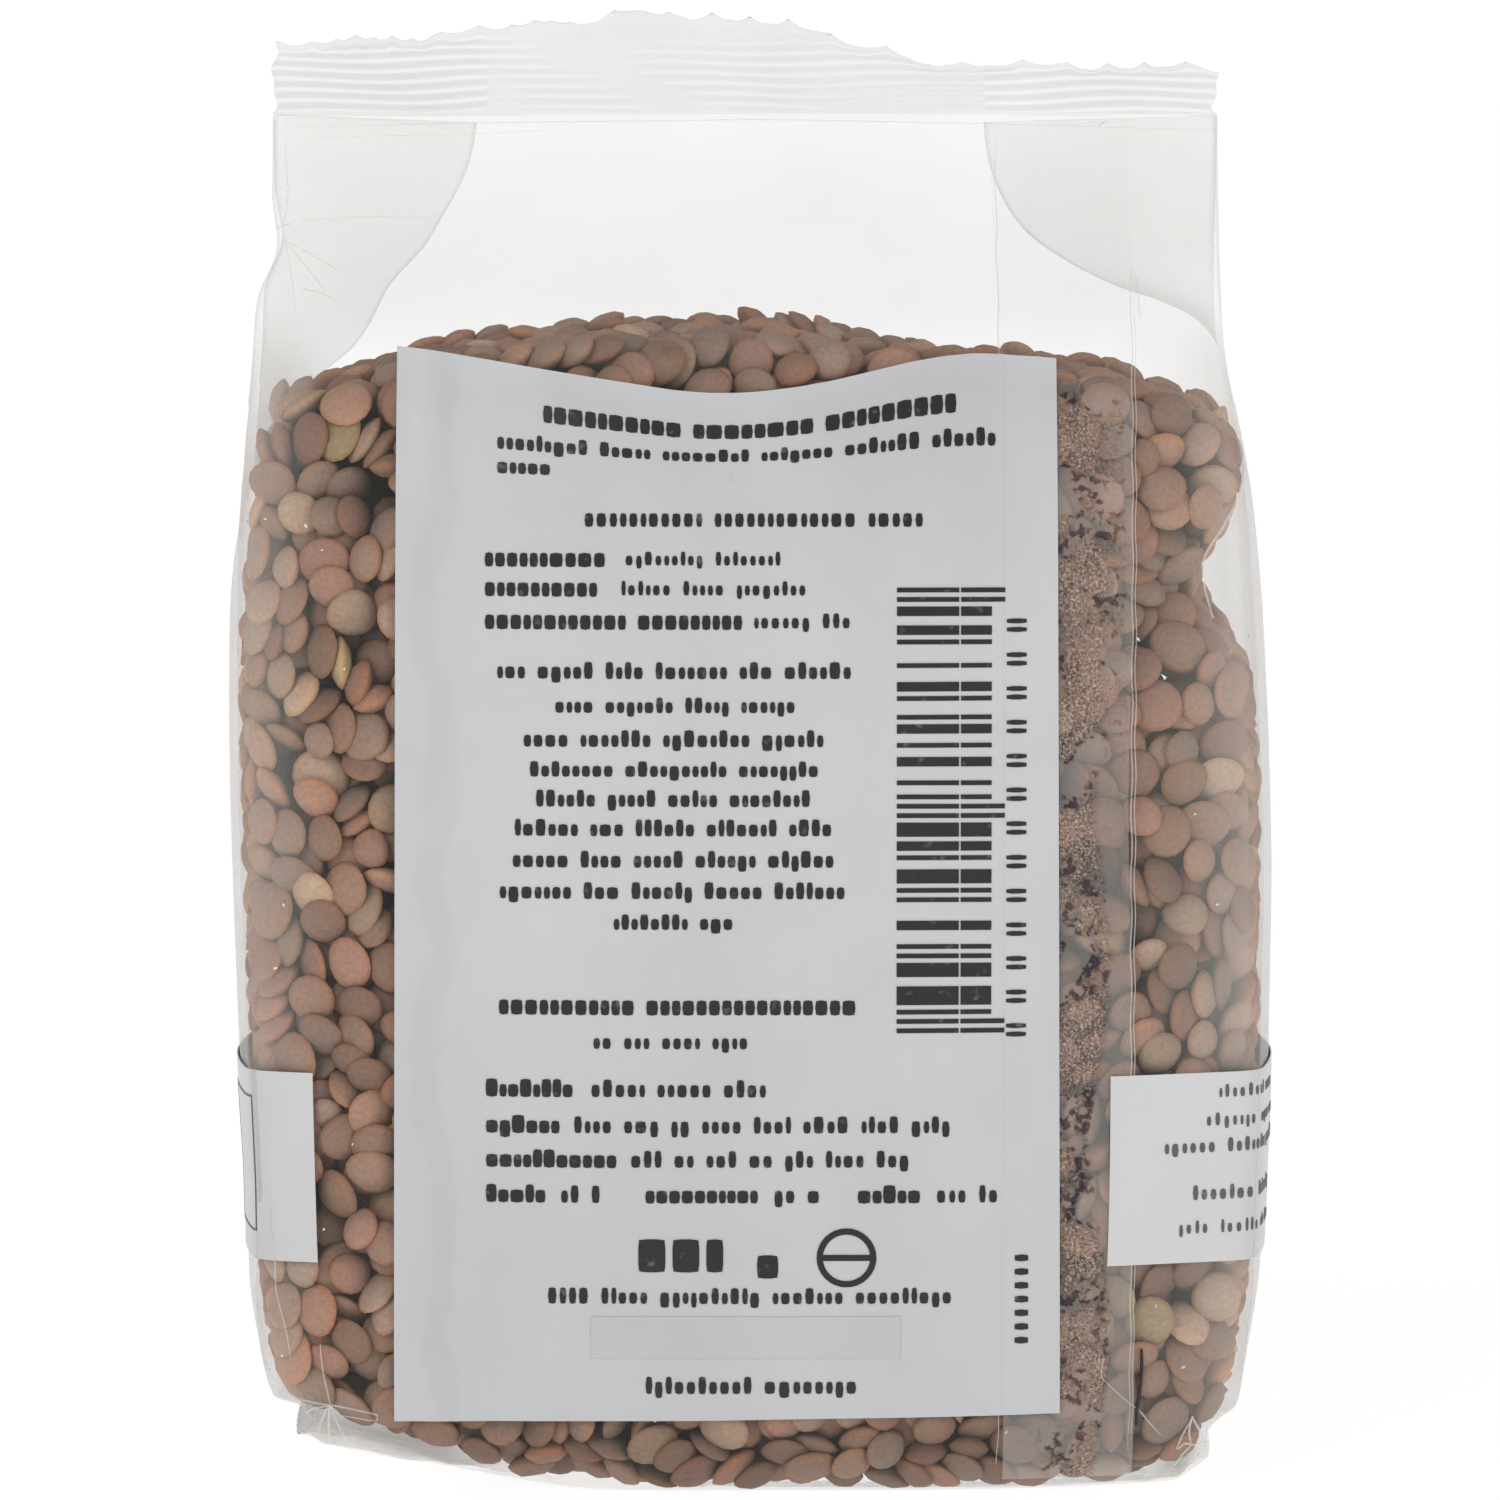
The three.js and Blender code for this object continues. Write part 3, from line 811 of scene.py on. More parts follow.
# Of each row: its height on the label, its two ends, how tall its blocks are, how many words it has, how much
# of it is ink, and whether it is in capitals
rowMeasures = ("z", "left", "right", "tall", "words", "ink", "capitals")
printRows = [dict(zip(rowMeasures, row)) for row in (
    (107.4, -20.3, 20.4, 1.75, 3, 0.88, True),
    (104.2, -24.8, 24.3, 1.25, 6, 0.79, False),
    (101.9, -24.8, -19.4, 1.2, 1, 0.84, False),
    (96.9, -16.2, 17.2, 1.35, 3, 0.73, True),
    (93.0, -26.0, -14.0, 1.4, 1, 0.84, True),
    (93.0, -12.2, 3.2, 1.05, 2, 0.68, False),
    (90.1, -26.0, -14.8, 1.4, 1, 0.84, True),
    (90.1, -12.6, 5.7, 1.1, 3, 0.68, False),
    (86.9, -26.0, -0.6, 1.45, 2, 0.84, True),
    (86.9, 0.4, 10.1, 1.15, 2, 0.68, False),
    (82.0, -24.8, 10.1, 1.3, 6, 0.77, False),
    (78.6, -19.1, 4.6, 1.2, 4, 0.77, False),
    (75.3, -22.2, 7.4, 1.3, 4, 0.77, False),
    (72.3, -21.6, 6.9, 1.2, 3, 0.79, False),
    (69.4, -21.0, 6.1, 1.3, 4, 0.79, False),
    (66.5, -23.1, 8.2, 1.3, 5, 0.79, False),
    (63.4, -23.3, 8.4, 1.3, 5, 0.79, False),
    (60.3, -24.6, 9.5, 1.3, 5, 0.79, False),
    (57.2, -13.4, -1.5, 1.2, 2, 0.79, False),
    (48.9, -24.7, 10.6, 1.5, 2, 0.84, True),
    (45.4, -15.4, 0.0, 1.2, 4, 0.73, False),
    (40.7, -26.0, -17.3, 1.4, 1, 0.88, False),
    (40.7, -15.6, 1.8, 1.35, 3, 0.73, False),
    (37.1, -26.0, -18.6, 1.4, 1, 0.88, False),
    (37.1, -17.3, 19.9, 1.3, 8, 0.73, False),
    (33.7, -26.0, -13.0, 1.4, 1, 0.88, False),
    (33.7, -11.7, 15.9, 1.3, 7, 0.73, False),
    (30.2, -26.0, -20.0, 1.4, 1, 0.88, False),
    (30.2, -18.6, -14.5, 1.35, 2, 0.73, False),
    (30.2, -10.3, 0.9, 1.4, 1, 0.88, False),
    (30.2, 2.4, 7.2, 1.35, 2, 0.73, False),
    (30.2, 10.6, 16.9, 1.4, 1, 0.88, False),
    (30.2, 18.4, 24.7, 1.35, 2, 0.68, False),
    (24.3, -11.0, -2.2, 3.3, 1, 0.79, True),
    (23.2, 0.7, 3.2, 2.3, 1, 0.83, True),
    (20.1, -19.9, 20.1, 1.25, 5, 0.73, False),
    (11.1, -10.3, 10.8, 1.35, 2, 0.73, False),
)]
printing = dict(
    seed=21, wordGap=1.0, lift=0.05 * mm, thickness=0.05 * mm, cell=0.9 * mm, corner=0.3,
    letterWidth=0.82,  # a block and the gap after it, as a share of the row's height
)
barcode = dict(left=14.4, right=23.7, guard=25.0, low=46.4, high=90.3, split=(20.5, 20.68))
codeDigits = dict(left=25.1, right=27.2, high=86.6, step=3.33, count=13, offset=0.42, half=0.24)
sideCode = dict(x=26.0, low=15.4, high=25.0, pieces=7, wide=1.5)
roundMark = dict(x=9.5, z=24.1, outer=2.95, stroke=0.62, barReach=2.4, barHalf=0.3)
datePatch = dict(ends=(-15.7, 14.8), low=14.0, high=18.2)


# A flat block of ink: its outline in millimetres is cut into cells, and its corners are taken in
def inkGrid(x0, x1, z0, z1, corner=0):
    cell = printing["cell"] / mm
    across = max(2, math.ceil((x1 - x0) / cell))
    up = max(1, math.ceil((z1 - z0) / cell))
    points = np.array([(x, z) for z in np.linspace(z0, z1, up + 1) for x in np.linspace(x0, x1, across + 1)])
    row = across + 1
    starts = [j * row + i for j in range(up) for i in range(across)]
    cells = [(low, low + 1, low + 1 + row, low + row) for low in starts]
    reach = 0.3 * min(corner, (x1 - x0) / 2, (z1 - z0) / 2)
    for place in (0, across, up * row, (up + 1) * row - 1):
        points[place] += reach * np.sign(np.array([x0 + x1, z0 + z1]) / 2 - points[place])
    return points, cells


# One word: blocks of uneven width, with here and there a taller or a deeper one unless in capitals
def wordBlocks(random, left, right, z, row):
    pitch = printing["letterWidth"] * row["tall"]
    letters = max(1, round((right - left) / pitch))
    widths = random.uniform(0.75, 1.25, letters)
    edges = left + (right - left) * np.concatenate([[0], np.cumsum(widths / widths.sum())])
    blocks = []
    for start, end in zip(edges[:-1], edges[1:]):
        half = row["tall"] / 2
        low, high = z - half, z + half
        if not row["capitals"]:
            kind = random.uniform()
            high += 0.38 * row["tall"] * (kind < 0.25) - 0.08 * row["tall"]
            low -= 0.3 * row["tall"] * (kind > 0.93)
        blocks.append(inkGrid(start, start + (end - start) * row["ink"], low, high, printing["corner"]))
    return blocks


def rowOfWords(random, row):
    left, right = row["left"], row["right"]
    lengths = random.uniform(0.6, 1.6, row["words"])
    lengths *= (right - left - printing["wordGap"] * (row["words"] - 1)) / lengths.sum()
    blocks, x = [], left
    for length in lengths:
        blocks += wordBlocks(random, x, x + length, row["z"], row)
        x += length + printing["wordGap"]
    return blocks


# A made-up bar code: a guard, six groups of two bars, a guard, six more groups and a guard
def barcodeShapes(random):
    widths = [1, 1, 1]
    for group in range(12):
        splits = np.sort(random.choice(np.arange(1, 7), 3, replace=False))
        widths += list(np.diff([0, *splits, 7]))
        if group == 5:
            widths += [1, 1, 1, 1, 1]
    widths += [1, 1, 1]
    module = (barcode["high"] - barcode["low"]) / sum(widths)
    shapes, z, isBar = [], barcode["high"], True
    for number, width in enumerate(widths):
        bottom = z - width * module
        if isBar:
            guard = number < 3 or number > len(widths) - 4 or 27 <= number < 32
            first, second = barcode["split"]
            shapes.append(inkGrid(barcode["left"], first, bottom, z))
            shapes.append(inkGrid(second, barcode["guard" if guard else "right"], bottom, z))
        z, isBar = bottom, not isBar
    return shapes


def ringShape(x, z, outer, stroke, turns=32):
    angles = np.linspace(0, 2 * math.pi, turns, endpoint=False)
    way = np.stack([np.cos(angles), np.sin(angles)], axis=1)
    rings = [np.array([x, z]) + radius * way for radius in (outer - stroke, outer)]
    cells = [(i + turns, (i + 1) % turns + turns, (i + 1) % turns, i) for i in range(turns)]
    return np.vstack(rings), [tuple(reversed(cell)) for cell in cells]


# Near the top the rows of print hang as the label's edge does
def hungDown(points):
    share = smoothStep(backLabel["flatBelow"] / mm, 112, points[:, 1])
    points[:, 1] += (1.9 - hang(points[:, 0] * mm) / mm) * share
    return points


def backPrint():
    random = np.random.default_rng(printing["seed"])
    shapes = []
    for row in printRows:
        shapes += [(hungDown(points), cells) for points, cells in rowOfWords(random, row)]
    shapes += barcodeShapes(random)
    for i in range(codeDigits["count"]):
        middle = codeDigits["high"] - i * codeDigits["step"]
        for line in (middle - codeDigits["offset"], middle + codeDigits["offset"]):
            ends = (line - codeDigits["half"], line + codeDigits["half"])
            shapes.append(inkGrid(codeDigits["left"], codeDigits["right"], *ends, printing["corner"]))
    step = (sideCode["high"] - sideCode["low"]) / sideCode["pieces"]
    for i in range(sideCode["pieces"]):
        low = sideCode["low"] + i * step
        right = sideCode["x"] + sideCode["wide"]
        shapes.append(inkGrid(sideCode["x"], right, low, low + step * 0.5, printing["corner"]))
    x, z, reach, half = (roundMark[measure] for measure in ("x", "z", "barReach", "barHalf"))
    shapes.append(ringShape(x, z, roundMark["outer"], roundMark["stroke"]))
    shapes.append(inkGrid(x - reach, x + reach, z - half, z + half))
    return shapes


def onBackLabel(tree, rise):
    def place(x, z):
        found, _, _, _ = tree.ray_cast(Vector((x * mm, -0.2, z * mm)), Vector((0, 1, 0)))
        return found.x, found.y - rise, found.z
    return place


# Blocks are laid on a surface by a function of their two flat measures, and thickened
def inkPiece(name, shapes, placeOf):
    places, faces = [], []
    for points, cells in shapes:
        base = len(places)
        places += [placeOf(x, z) for x, z in points]
        faces += [tuple(base + i for i in cell) for cell in cells]
    piece = fromLists(name, places, faces)
    solidify(piece, printing["thickness"], 0)
    print(name, "blocks", len(shapes))
    return piece


# Side print: five rows that run from the band label's right part round the bag's side

sideRows = [dict(zip(rowMeasures, row)) for row in (
    (39.8, 11.3, 24, 1.0, 2, 0.5, False),
    (37.0, 10.0, 26, 1.0, 3, 0.5, False),
    (34.4, 5.6, 27, 1.1, 3, 0.62, False),
    (29.7, 8.6, 25, 1.15, 2, 0.62, False),
    (26.3, 7.2, 26, 1.0, 4, 0.5, False),
)]
sideFrame = dict(fromEnd=(6.8, 21), low=25.6, high=39.2, stroke=0.2)


def sidePrint(length):
    random = np.random.default_rng(printing["seed"] + 1)
    shapes = []
    for row in sideRows:
        shapes += rowOfWords(random, row)
    right, left = length - sideFrame["fromEnd"][0], length - sideFrame["fromEnd"][1]
    low, high, stroke = sideFrame["low"], sideFrame["high"], sideFrame["stroke"]
    shapes.append(inkGrid(left, right, low, low + stroke))
    shapes.append(inkGrid(left, right, high - stroke, high))
    shapes.append(inkGrid(left, left + stroke, low, high))
    shapes.append(inkGrid(right - stroke, right, low, high))
    return shapes


def onBandLabel(line, rise):
    def place(along, z):
        spot, outward = (
            np.array([np.interp(along * mm, line["length"], line[kind][:, axis]) for axis in (0, 1)])
            for kind in ("points", "outward")
        )
        start = Vector((spot[0], spot[1], z * mm)) + Vector((*outward, 0)) * 5 * mm
        found, _, _, _ = line["tree"].ray_cast(start, Vector((*-outward, 0)))
        return (found.x + outward[0] * rise, found.y + outward[1] * rise, found.z)
    return place


# Seam: a second layer of film down the back, welded along a speckled strip

seam = dict(
    left=24.9 * mm, right=37.6 * mm, bottom=1.2 * mm, top=135 * mm, topLeft=23.7 * mm, topRight=37.2 * mm,
    across=26, up=260, lift=0.14 * mm, weldFrom=29.5 * mm, weldTo=34.6 * mm,
    hazeFree=0.02, hazeOver=0.25, paleWeld=0.55, paleTo=37 * mm,
)


def seamEdges(z):
    share = smoothStep(100 * mm, seam["top"], z)
    wander = 0.25 * mm * np.sin(z * 55 + 1) + 0.15 * mm * np.sin(z * 160)
    left = seam["left"] + (seam["topLeft"] - seam["left"]) * share
    right = seam["right"] + (seam["topRight"] - seam["right"]) * share
    return left + 0.3 * wander, right + wander


def buildSeam(tree):
    piece, u, v = gridPiece("film_seam", seam["across"], seam["up"])
    z = seam["bottom"] + (seam["top"] - seam["bottom"]) * v
    left, right = seamEdges(z)
    x = left + (right - left) * u
    y = np.array([backY(tree, a, b) for a, b in zip(x, z)]) - seam["lift"]
    y -= 0.10 * mm * np.sin(u * 9 + z * 300) * np.sin(z * 520 + 2 * u)
    setPoints(piece, np.stack([x, y, z], axis=1))
    weldFrom, weldTo = seam["weldFrom"], seam["weldTo"]
    weld = smoothStep(weldFrom - 1 * mm, weldFrom + 1 * mm, x + 0.8 * mm * np.sin(z * 210))
    past = smoothStep(weldTo - 0.8 * mm, weldTo + 0.8 * mm, x + 0.9 * mm * np.sin(z * 170 + 2))
    weld *= 1 - past * (1 - seam["paleWeld"] * smoothStep(60 * mm, 85 * mm, z) * (x < seam["paleTo"]))
    heaped = 1 - smoothStep(107.5 * mm, 111 * mm, z)
    addValues(piece, "weld", weld * heaped)
    addValues(piece, "haze", seam["hazeFree"] + (seam["hazeOver"] - seam["hazeFree"]) * heaped)
    if piece.data.polygons[0].normal.y > 0:
        piece.data.flip_normals()
    shadeSmooth(piece)
    print("seam laid down the back")
    return piece


# Creases: fine folded lines in the film, made as whitish ribbons that are painted highlights where the folds
# catch the light. Each is half its thickness, and its points as (x, z) on the back, all in millimetres.

creases = [
    (0.07, (24.3, 134), (24.5, 112), (24.8, 60), (24.8, 20), (24.4, 3)),
    (0.07, (37.6, 121), (37.6, 112), (37.5, 60), (37.6, 20), (37.5, 4)),
    (0.055, (37.95, 120), (37.9, 100), (37.85, 45), (37.95, 20), (37.8, 5)),
    # slack film beside the left gusset and at the right, and the lower border of the seal
    (0.07, (-47.0, 124.3), (-46.3, 124.6), (-45.4, 124.9)),
    (0.04, (-44.5, 125.2), (-38, 125.6), (-31.7, 125.6)),
    (0.07, (-44.0, 118.7), (-42.6, 118.4), (-41.2, 117.8)),
    (0.05, (-46.2, 123.3), (-44.3, 121.2), (-41.8, 118.5)),
    (0.05, (-46.2, 123.3), (-43.5, 122), (-40.8, 120.6)),
    (0.05, (-46.0, 122.8), (-45.2, 119.8), (-44.9, 116.5)),
    (0.05, (-46.1, 133), (-45.9, 128), (-46.1, 125)),
    (0.06, (38.3, 120), (38.4, 117.5), (38.4, 116)),
    (0.13, (48.9, 101.5), (48.0, 98.4), (46.4, 95.3), (44.9, 93.4), (44.4, 92.0), (44.7, 90.0), (45.6, 86.8)),
    (0.05, (-46.5, 134.1), (-30, 134.6), (0, 134.9), (24, 134.5), (46, 133.9)),
    (0.03, (-44.5, 133.2), (-28, 133.5), (-20, 133.9)),
    # at the bottom left, a knot of gathered film with a small tuck beside it
    (0.06, (-47.6, 30), (-46.9, 20), (-45.4, 13)),
    (0.07, (-42.6, 14.7), (-42.1, 11), (-41.7, 8.5)),
    (0.09, (-46.0, 9.6), (-44, 8.6), (-41.7, 8.4), (-39.5, 8.1), (-36.8, 7.6)),
    (0.06, (-36.8, 7.6), (-36.5, 7.2), (-37.0, 6.9), (-40.6, 7.3)),
    (0.10, (-41.7, 8.4), (-42.6, 6.6), (-43.1, 4.9)),
    (0.12, (-41.7, 8.4), (-41.9, 6.4), (-41.7, 4.4)),
    (0.10, (-41.7, 8.4), (-40.9, 6.4), (-39.7, 4.2)),
    (0.10, (-41.7, 8.4), (-43.5, 7.8), (-44.0, 7.2)),
    # at the bottom right, a star of small folds and two slack streaks above it
    (0.12, (43.8, 4.2), (43.6, 5.6), (43.9, 7.2)),
    (0.10, (43.9, 7.2), (44.6, 5.8), (45.4, 4.3)),
    (0.12, (43.8, 4.2), (44.6, 4.1), (45.4, 4.3)),
    (0.12, (43.8, 4.2), (43.1, 4.4), (42.4, 3.8)),
    (0.09, (43.9, 7.2), (43.0, 5.6), (42.4, 3.8)),
    (0.10, (43.8, 4.2), (42.9, 3.2), (42.2, 1.9)),
    (0.06, (34.8, 11.6), (36.8, 9.6), (39.2, 7.4)),
    (0.06, (38.7, 7.9), (39.6, 6.8), (40.7, 5.4)),
    (0.07, (35.0, 13.4), (34.7, 12.2), (34.8, 11.6)),
]
markLine = [(0.2, (38.7, 14.4), (38.6, 10), (38.3, 7.9), (38.2, 6.6))]


def buildLines(name, lines, tree, rise):
    pieces = []
    for number, (thick, *knots) in enumerate(lines):
        knots = np.array(knots, dtype=float)
        length = lengthAlong(knots)
        steps = np.linspace(0, length[-1], max(6, int(length[-1] / 1.2)))
        xs = np.interp(steps, length, knots[:, 0]) + 0.08 * np.sin(steps * 0.9 + number)
        zs = np.interp(steps, length, knots[:, 1])
        curve = bpy.data.curves.new(name, "CURVE")
        curve.dimensions = "3D"
        curve.bevel_depth = thick * mm
        curve.bevel_resolution = 1
        curve.use_fill_caps = True
        spline = curve.splines.new("POLY")
        spline.points.add(len(steps) - 1)
        for i, (point, x, z) in enumerate(zip(spline.points, xs, zs)):
            point.co = (x * mm, backY(tree, x * mm, z * mm) - rise, z * mm, 1)
            point.radius = 0.35 + 0.65 * math.sin(math.pi * (i + 0.5) / len(steps)) ** 0.5
        pieces.append(linked(name, curve))
    deselectAll()
    for piece in pieces:
        piece.select_set(True)
    bpy.context.view_layer.objects.active = pieces[0]
    bpy.ops.object.convert(target="MESH")
    if len(pieces) > 1:
        bpy.ops.object.join()
    bpy.ops.object.shade_smooth()
    return newest(name)


# The folded base: a band of crumpled film inside the skin, under the lentils

def buildBaseFold(source):
    makeActive(source)
    bpy.ops.object.duplicate()
    piece = newest("film_base")
    for cuts in (2, 0):
        for face in piece.data.polygons:
            face.select = bool(face.center.z > foldTop(face.center.x) + (3 * mm if cuts else 0))
        bpy.ops.object.mode_set(mode="EDIT")
        bpy.ops.mesh.select_mode(type="FACE")
        bpy.ops.mesh.delete(type="FACE")
        bpy.ops.mesh.select_all(action="SELECT")
        if cuts:
            bpy.ops.mesh.subdivide(number_cuts=cuts)
        endEdit()
    points, normals = getPoints(piece), getNormals(piece)
    x, y, z = points.T
    crumple = 0.16 * np.sin(x * 1400 + 3 * np.sin(z * 700))
    crumple = crumple + 0.12 * np.sin(y * 1700 + x * 600) * np.sin(z * 1100)
    points -= normals * ((0.42 + crumple) * mm)[:, None]
    points[:, 2] = np.maximum(points[:, 2], 0.05 * mm)
    setPoints(piece, points)
    below = foldTop(points[:, 0]) - points[:, 2]
    addValues(piece, "haze", baseFold["haze"] * smoothStep(0, baseFold["fade"], below))
    shadeSmooth(piece)
    print("base folded:", len(piece.data.polygons), "faces")
    return piece


# Husk flecks: tiny pale chips caught between the lentils and the film

flecks = dict(seed=5, count=150, size=0.2 * mm, low=6 * mm, high=100 * mm)


def buildFlecks(tree):
    random = np.random.default_rng(flecks["seed"])
    points, corners = [], []
    while len(points) < 8 * flecks["count"]:
        x = random.uniform(-48, 48) * mm
        z = random.uniform(flecks["low"], flecks["high"])
        face = random.choice([-1, 1])
        if random.uniform() < 0.35:
            start, way = Vector((face * 0.2, random.uniform(-18, 18) * mm, z)), Vector((-face, 0, 0))
        else:
            start, way = Vector((x, face * 0.2, z)), Vector((0, -face, 0))
        place, normal, _, _ = tree.ray_cast(start, way)
        if place is None:
            continue
        normal = normal if normal.dot(way) < 0 else -normal
        along = normal.cross(Vector(random.normal(size=3))).normalized()
        along = along * flecks["size"] * random.uniform(0.6, 1.7)
        across = normal.cross(along).normalized() * flecks["size"] * random.uniform(0.4, 0.8)
        middle = place - normal * 0.25 * mm
        thick = normal * 0.04 * mm
        base = len(points)
        for side in (-thick, thick):
            points += [middle + side + one for one in (-along, -across, along * 0.8, across)]
        corners += [(0, 1, 2, 3), (7, 6, 5, 4), (0, 4, 5, 1), (1, 5, 6, 2), (2, 6, 7, 3), (3, 7, 4, 0)]
        corners[-6:] = [tuple(base + i for i in face) for face in corners[-6:]]
    piece = fromLists("husk_flecks", points, corners)
    editAll(piece)
    bpy.ops.mesh.normals_make_consistent(inside=False)
    endEdit()
    return piece


# The crimped band: parted from the film, cut finer and pressed into ribs, with an uneven torn edge

seal = dict(
    bottom=135.3 * mm, rib=1.05 * mm, depth=0.13 * mm, scallop=0.62 * mm, narrow=0.011,
    leftGusset=-26.6 * mm, rightGusset=23.6 * mm,
    # small flaps of the torn edge: place, width in mm and rise of each
    flaps=((29.5 * mm, 2.4, 0.5 * mm), (45.5 * mm, 1.2, 0.45 * mm), (5 * mm, 2, 0.4 * mm),
           (-16 * mm, 1.6, -0.5 * mm), (-11 * mm, 1.5, 0.45 * mm), (-33 * mm, 1.1, -0.3 * mm)),
    # streaks: how far the painted rib shading lifts and lowers the milkiness
    haze=0.178, streaks=0.4,
)


def buildSeal(piece):
    startEdit(piece, "FACE")
    bpy.ops.object.mode_set(mode="OBJECT")
    for face in piece.data.polygons:
        face.select = face.center.z > seal["bottom"]
    bpy.ops.object.mode_set(mode="EDIT")
    bpy.ops.mesh.separate(type="SELECTED")
    endEdit()
    band = [one for one in bpy.context.selected_objects if one != piece][0]
    band.name = "film_seal"
    band.data.name = "film_seal"
    editAll(band)
    bpy.ops.mesh.subdivide(number_cuts=1)
    endEdit()
    points = getPoints(band)
    x, z = points[:, 0], points[:, 2]
    start = points[:, 2].min()
    topAt = np.interp(x, *edgeLine(points))
    share = np.clip((z - start) / (topAt - start), 0, 1)
    doubled = (x < seal["leftGusset"]) | (x > seal["rightGusset"])
    wave = z - 0.012 * x + 0.2 * mm * np.sin(x * 130) + 0.15 * mm * np.sin(x * 310 + z * 500)
    ribs = np.sin(2 * math.pi * wave / seal["rib"]) * smoothStep(0.03, 0.1, share)
    ribs = ribs * (1 - smoothStep(0.86, 0.95, share))
    points[:, 1] += seal["depth"] * ribs * np.where(doubled, 1.6, 1.15)
    ends = np.sign(x) * smoothStep(44 * mm, 47 * mm, np.abs(x))
    points[:, 0] += ends * (0.28 * mm * np.sin(z * 1050 + x) + 0.16 * mm * np.sin(z * 2300))
    points[:, 1] += 0.25 * mm * share * np.sin(x * 620 + 3 * np.sin(x * 150)) * smoothStep(0.8, 1, share)
    middle = smoothStep(-24 * mm, -16 * mm, x)
    large = np.abs(np.sin(x * 620 + 1.3 * np.sin(x * 170))) * (0.35 + 0.65 * middle)
    small = np.abs(np.sin(x * 1250 + 1.5 * np.sin(x * 330))) * (1 - 0.6 * middle)
    flaps = sum(np.exp(-((x - place) / (width * mm)) ** 2) * rise for place, width, rise in seal["flaps"])
    points[:, 2] -= (seal["scallop"] * (large + 0.5 * small) - flaps) * smoothStep(0.7, 1, share)
    points[:, 0] *= 1 - seal["narrow"] * smoothStep(0, 0.2, share)
    setPoints(band, points)
    # painted rib shading: the milkiness rises and falls with the ribs, giving lighter and darker bands along
    # them
    patchy = 0.35 + 0.35 * np.sin(x * 210 + 2 * np.sin(z * 420 + x * 95))
    streaks = 1 + seal["streaks"] * ribs * np.where(doubled, 1, patchy)
    addValues(band, "haze", seal["haze"] * streaks)
    shadeSmooth(band)
    print("seal crimped:", len(band.data.polygons), "faces")
    return band


def edgeLine(points):
    steps = np.linspace(points[:, 0].min(), points[:, 0].max(), 80)
    tops = []
    for low, high in zip(steps[:-1], steps[1:]):
        inside = (points[:, 0] >= low) & (points[:, 0] <= high)
        tops.append(points[inside, 2].max() if inside.any() else tops[-1])
    return (steps[:-1] + steps[1:]) / 2, np.array(tops)


# Materials

# The nodes and links of a material or group. What is given to a socket is linked to it, or set where it is
# a number or a colour.
class Graph:
    def __init__(self, tree):
        self.nodes, self.links = tree.nodes, tree.links

    def give(self, made, values):
        for name, value in values.items():
            self.feed(made.inputs[name], value)

    def feed(self, socket, value):
        if isinstance(value, (int, float)):
            socket.default_value = value
        elif isinstance(value, tuple):
            socket.default_value = (*value, 1) if socket.type == "RGBA" else value
        else:
            self.links.new(value, socket)

    def node(self, kind, **settings):
        made = self.nodes.new("ShaderNode" + kind)
        for name, value in settings.items():
            if name in made.inputs:
                self.feed(made.inputs[name], value)
            else:
                setattr(made, name, value)
        return made

    def place(self):
        return self.node("TexCoord").outputs["Object"]

    def attribute(self, name):
        return self.node("Attribute", attribute_name=name).outputs["Fac"]

    def ranged(self, source, fromMin, fromMax, toMin, toMax):
        made = self.node("MapRange", Value=source)
        self.give(made, {"From Min": fromMin, "From Max": fromMax, "To Min": toMin, "To Max": toMax})
        return made.outputs["Result"]

    def noise(self, place, scale, detail):
        return self.node("TexNoise", Vector=place, Scale=scale, Detail=detail).outputs["Fac"]

    def mixed(self, factor, first, second):
        made = self.node("Mix", data_type="RGBA", Factor=factor)
        for socket, colour in zip([one for one in made.inputs if one.type == "RGBA"], (first, second)):
            self.feed(socket, colour)
        return [one for one in made.outputs if one.type == "RGBA"][0]

    def maths(self, operation, *values, clamp=False):
        made = self.node("Math", operation=operation, use_clamp=clamp)
        for socket, value in zip(made.inputs, values):
            self.feed(socket, value)
        return made.outputs[0]

    def product(self, first, *others):
        for other in others:
            first = self.maths("MULTIPLY", first, other)
        return first

    # How far a measure lies from a given one
    def off(self, measure, middle):
        return self.maths("ABSOLUTE", self.maths("ADD", measure, -middle))

    def scaled(self, colour, factor):
        made = self.node("VectorMath", operation="SCALE", Scale=factor)
        self.feed(made.inputs[0], colour)
        return made.outputs[0]

    def bump(self, height, strength, distance):
        return self.node("Bump", Height=height, Strength=strength, Distance=distance).outputs["Normal"]

    def group(self, group, **values):
        made = self.nodes.new("ShaderNodeGroup")
        made.node_tree = group
        self.give(made, values)
        return made.outputs


def newMaterial(name):
    material = bpy.data.materials.new(name)
    material.use_nodes = True
    graph = Graph(material.node_tree)
    return material, graph, graph.nodes["Principled BSDF"]


# A shader group: named sockets in and out, filled once by a function
def newGroup(name, inputs, outputs, fill):
    group = bpy.data.node_groups.new(name, "ShaderNodeTree")
    for direction, sockets in (("INPUT", inputs), ("OUTPUT", outputs)):
        for socket, kind in sockets.items():
            group.interface.new_socket(name=socket, in_out=direction, socket_type="NodeSocket" + kind)
    graph = Graph(group)
    start = group.nodes.new("NodeGroupInput")
    end = group.nodes.new("NodeGroupOutput")
    graph.give(end, fill(graph, start.outputs))
    return group
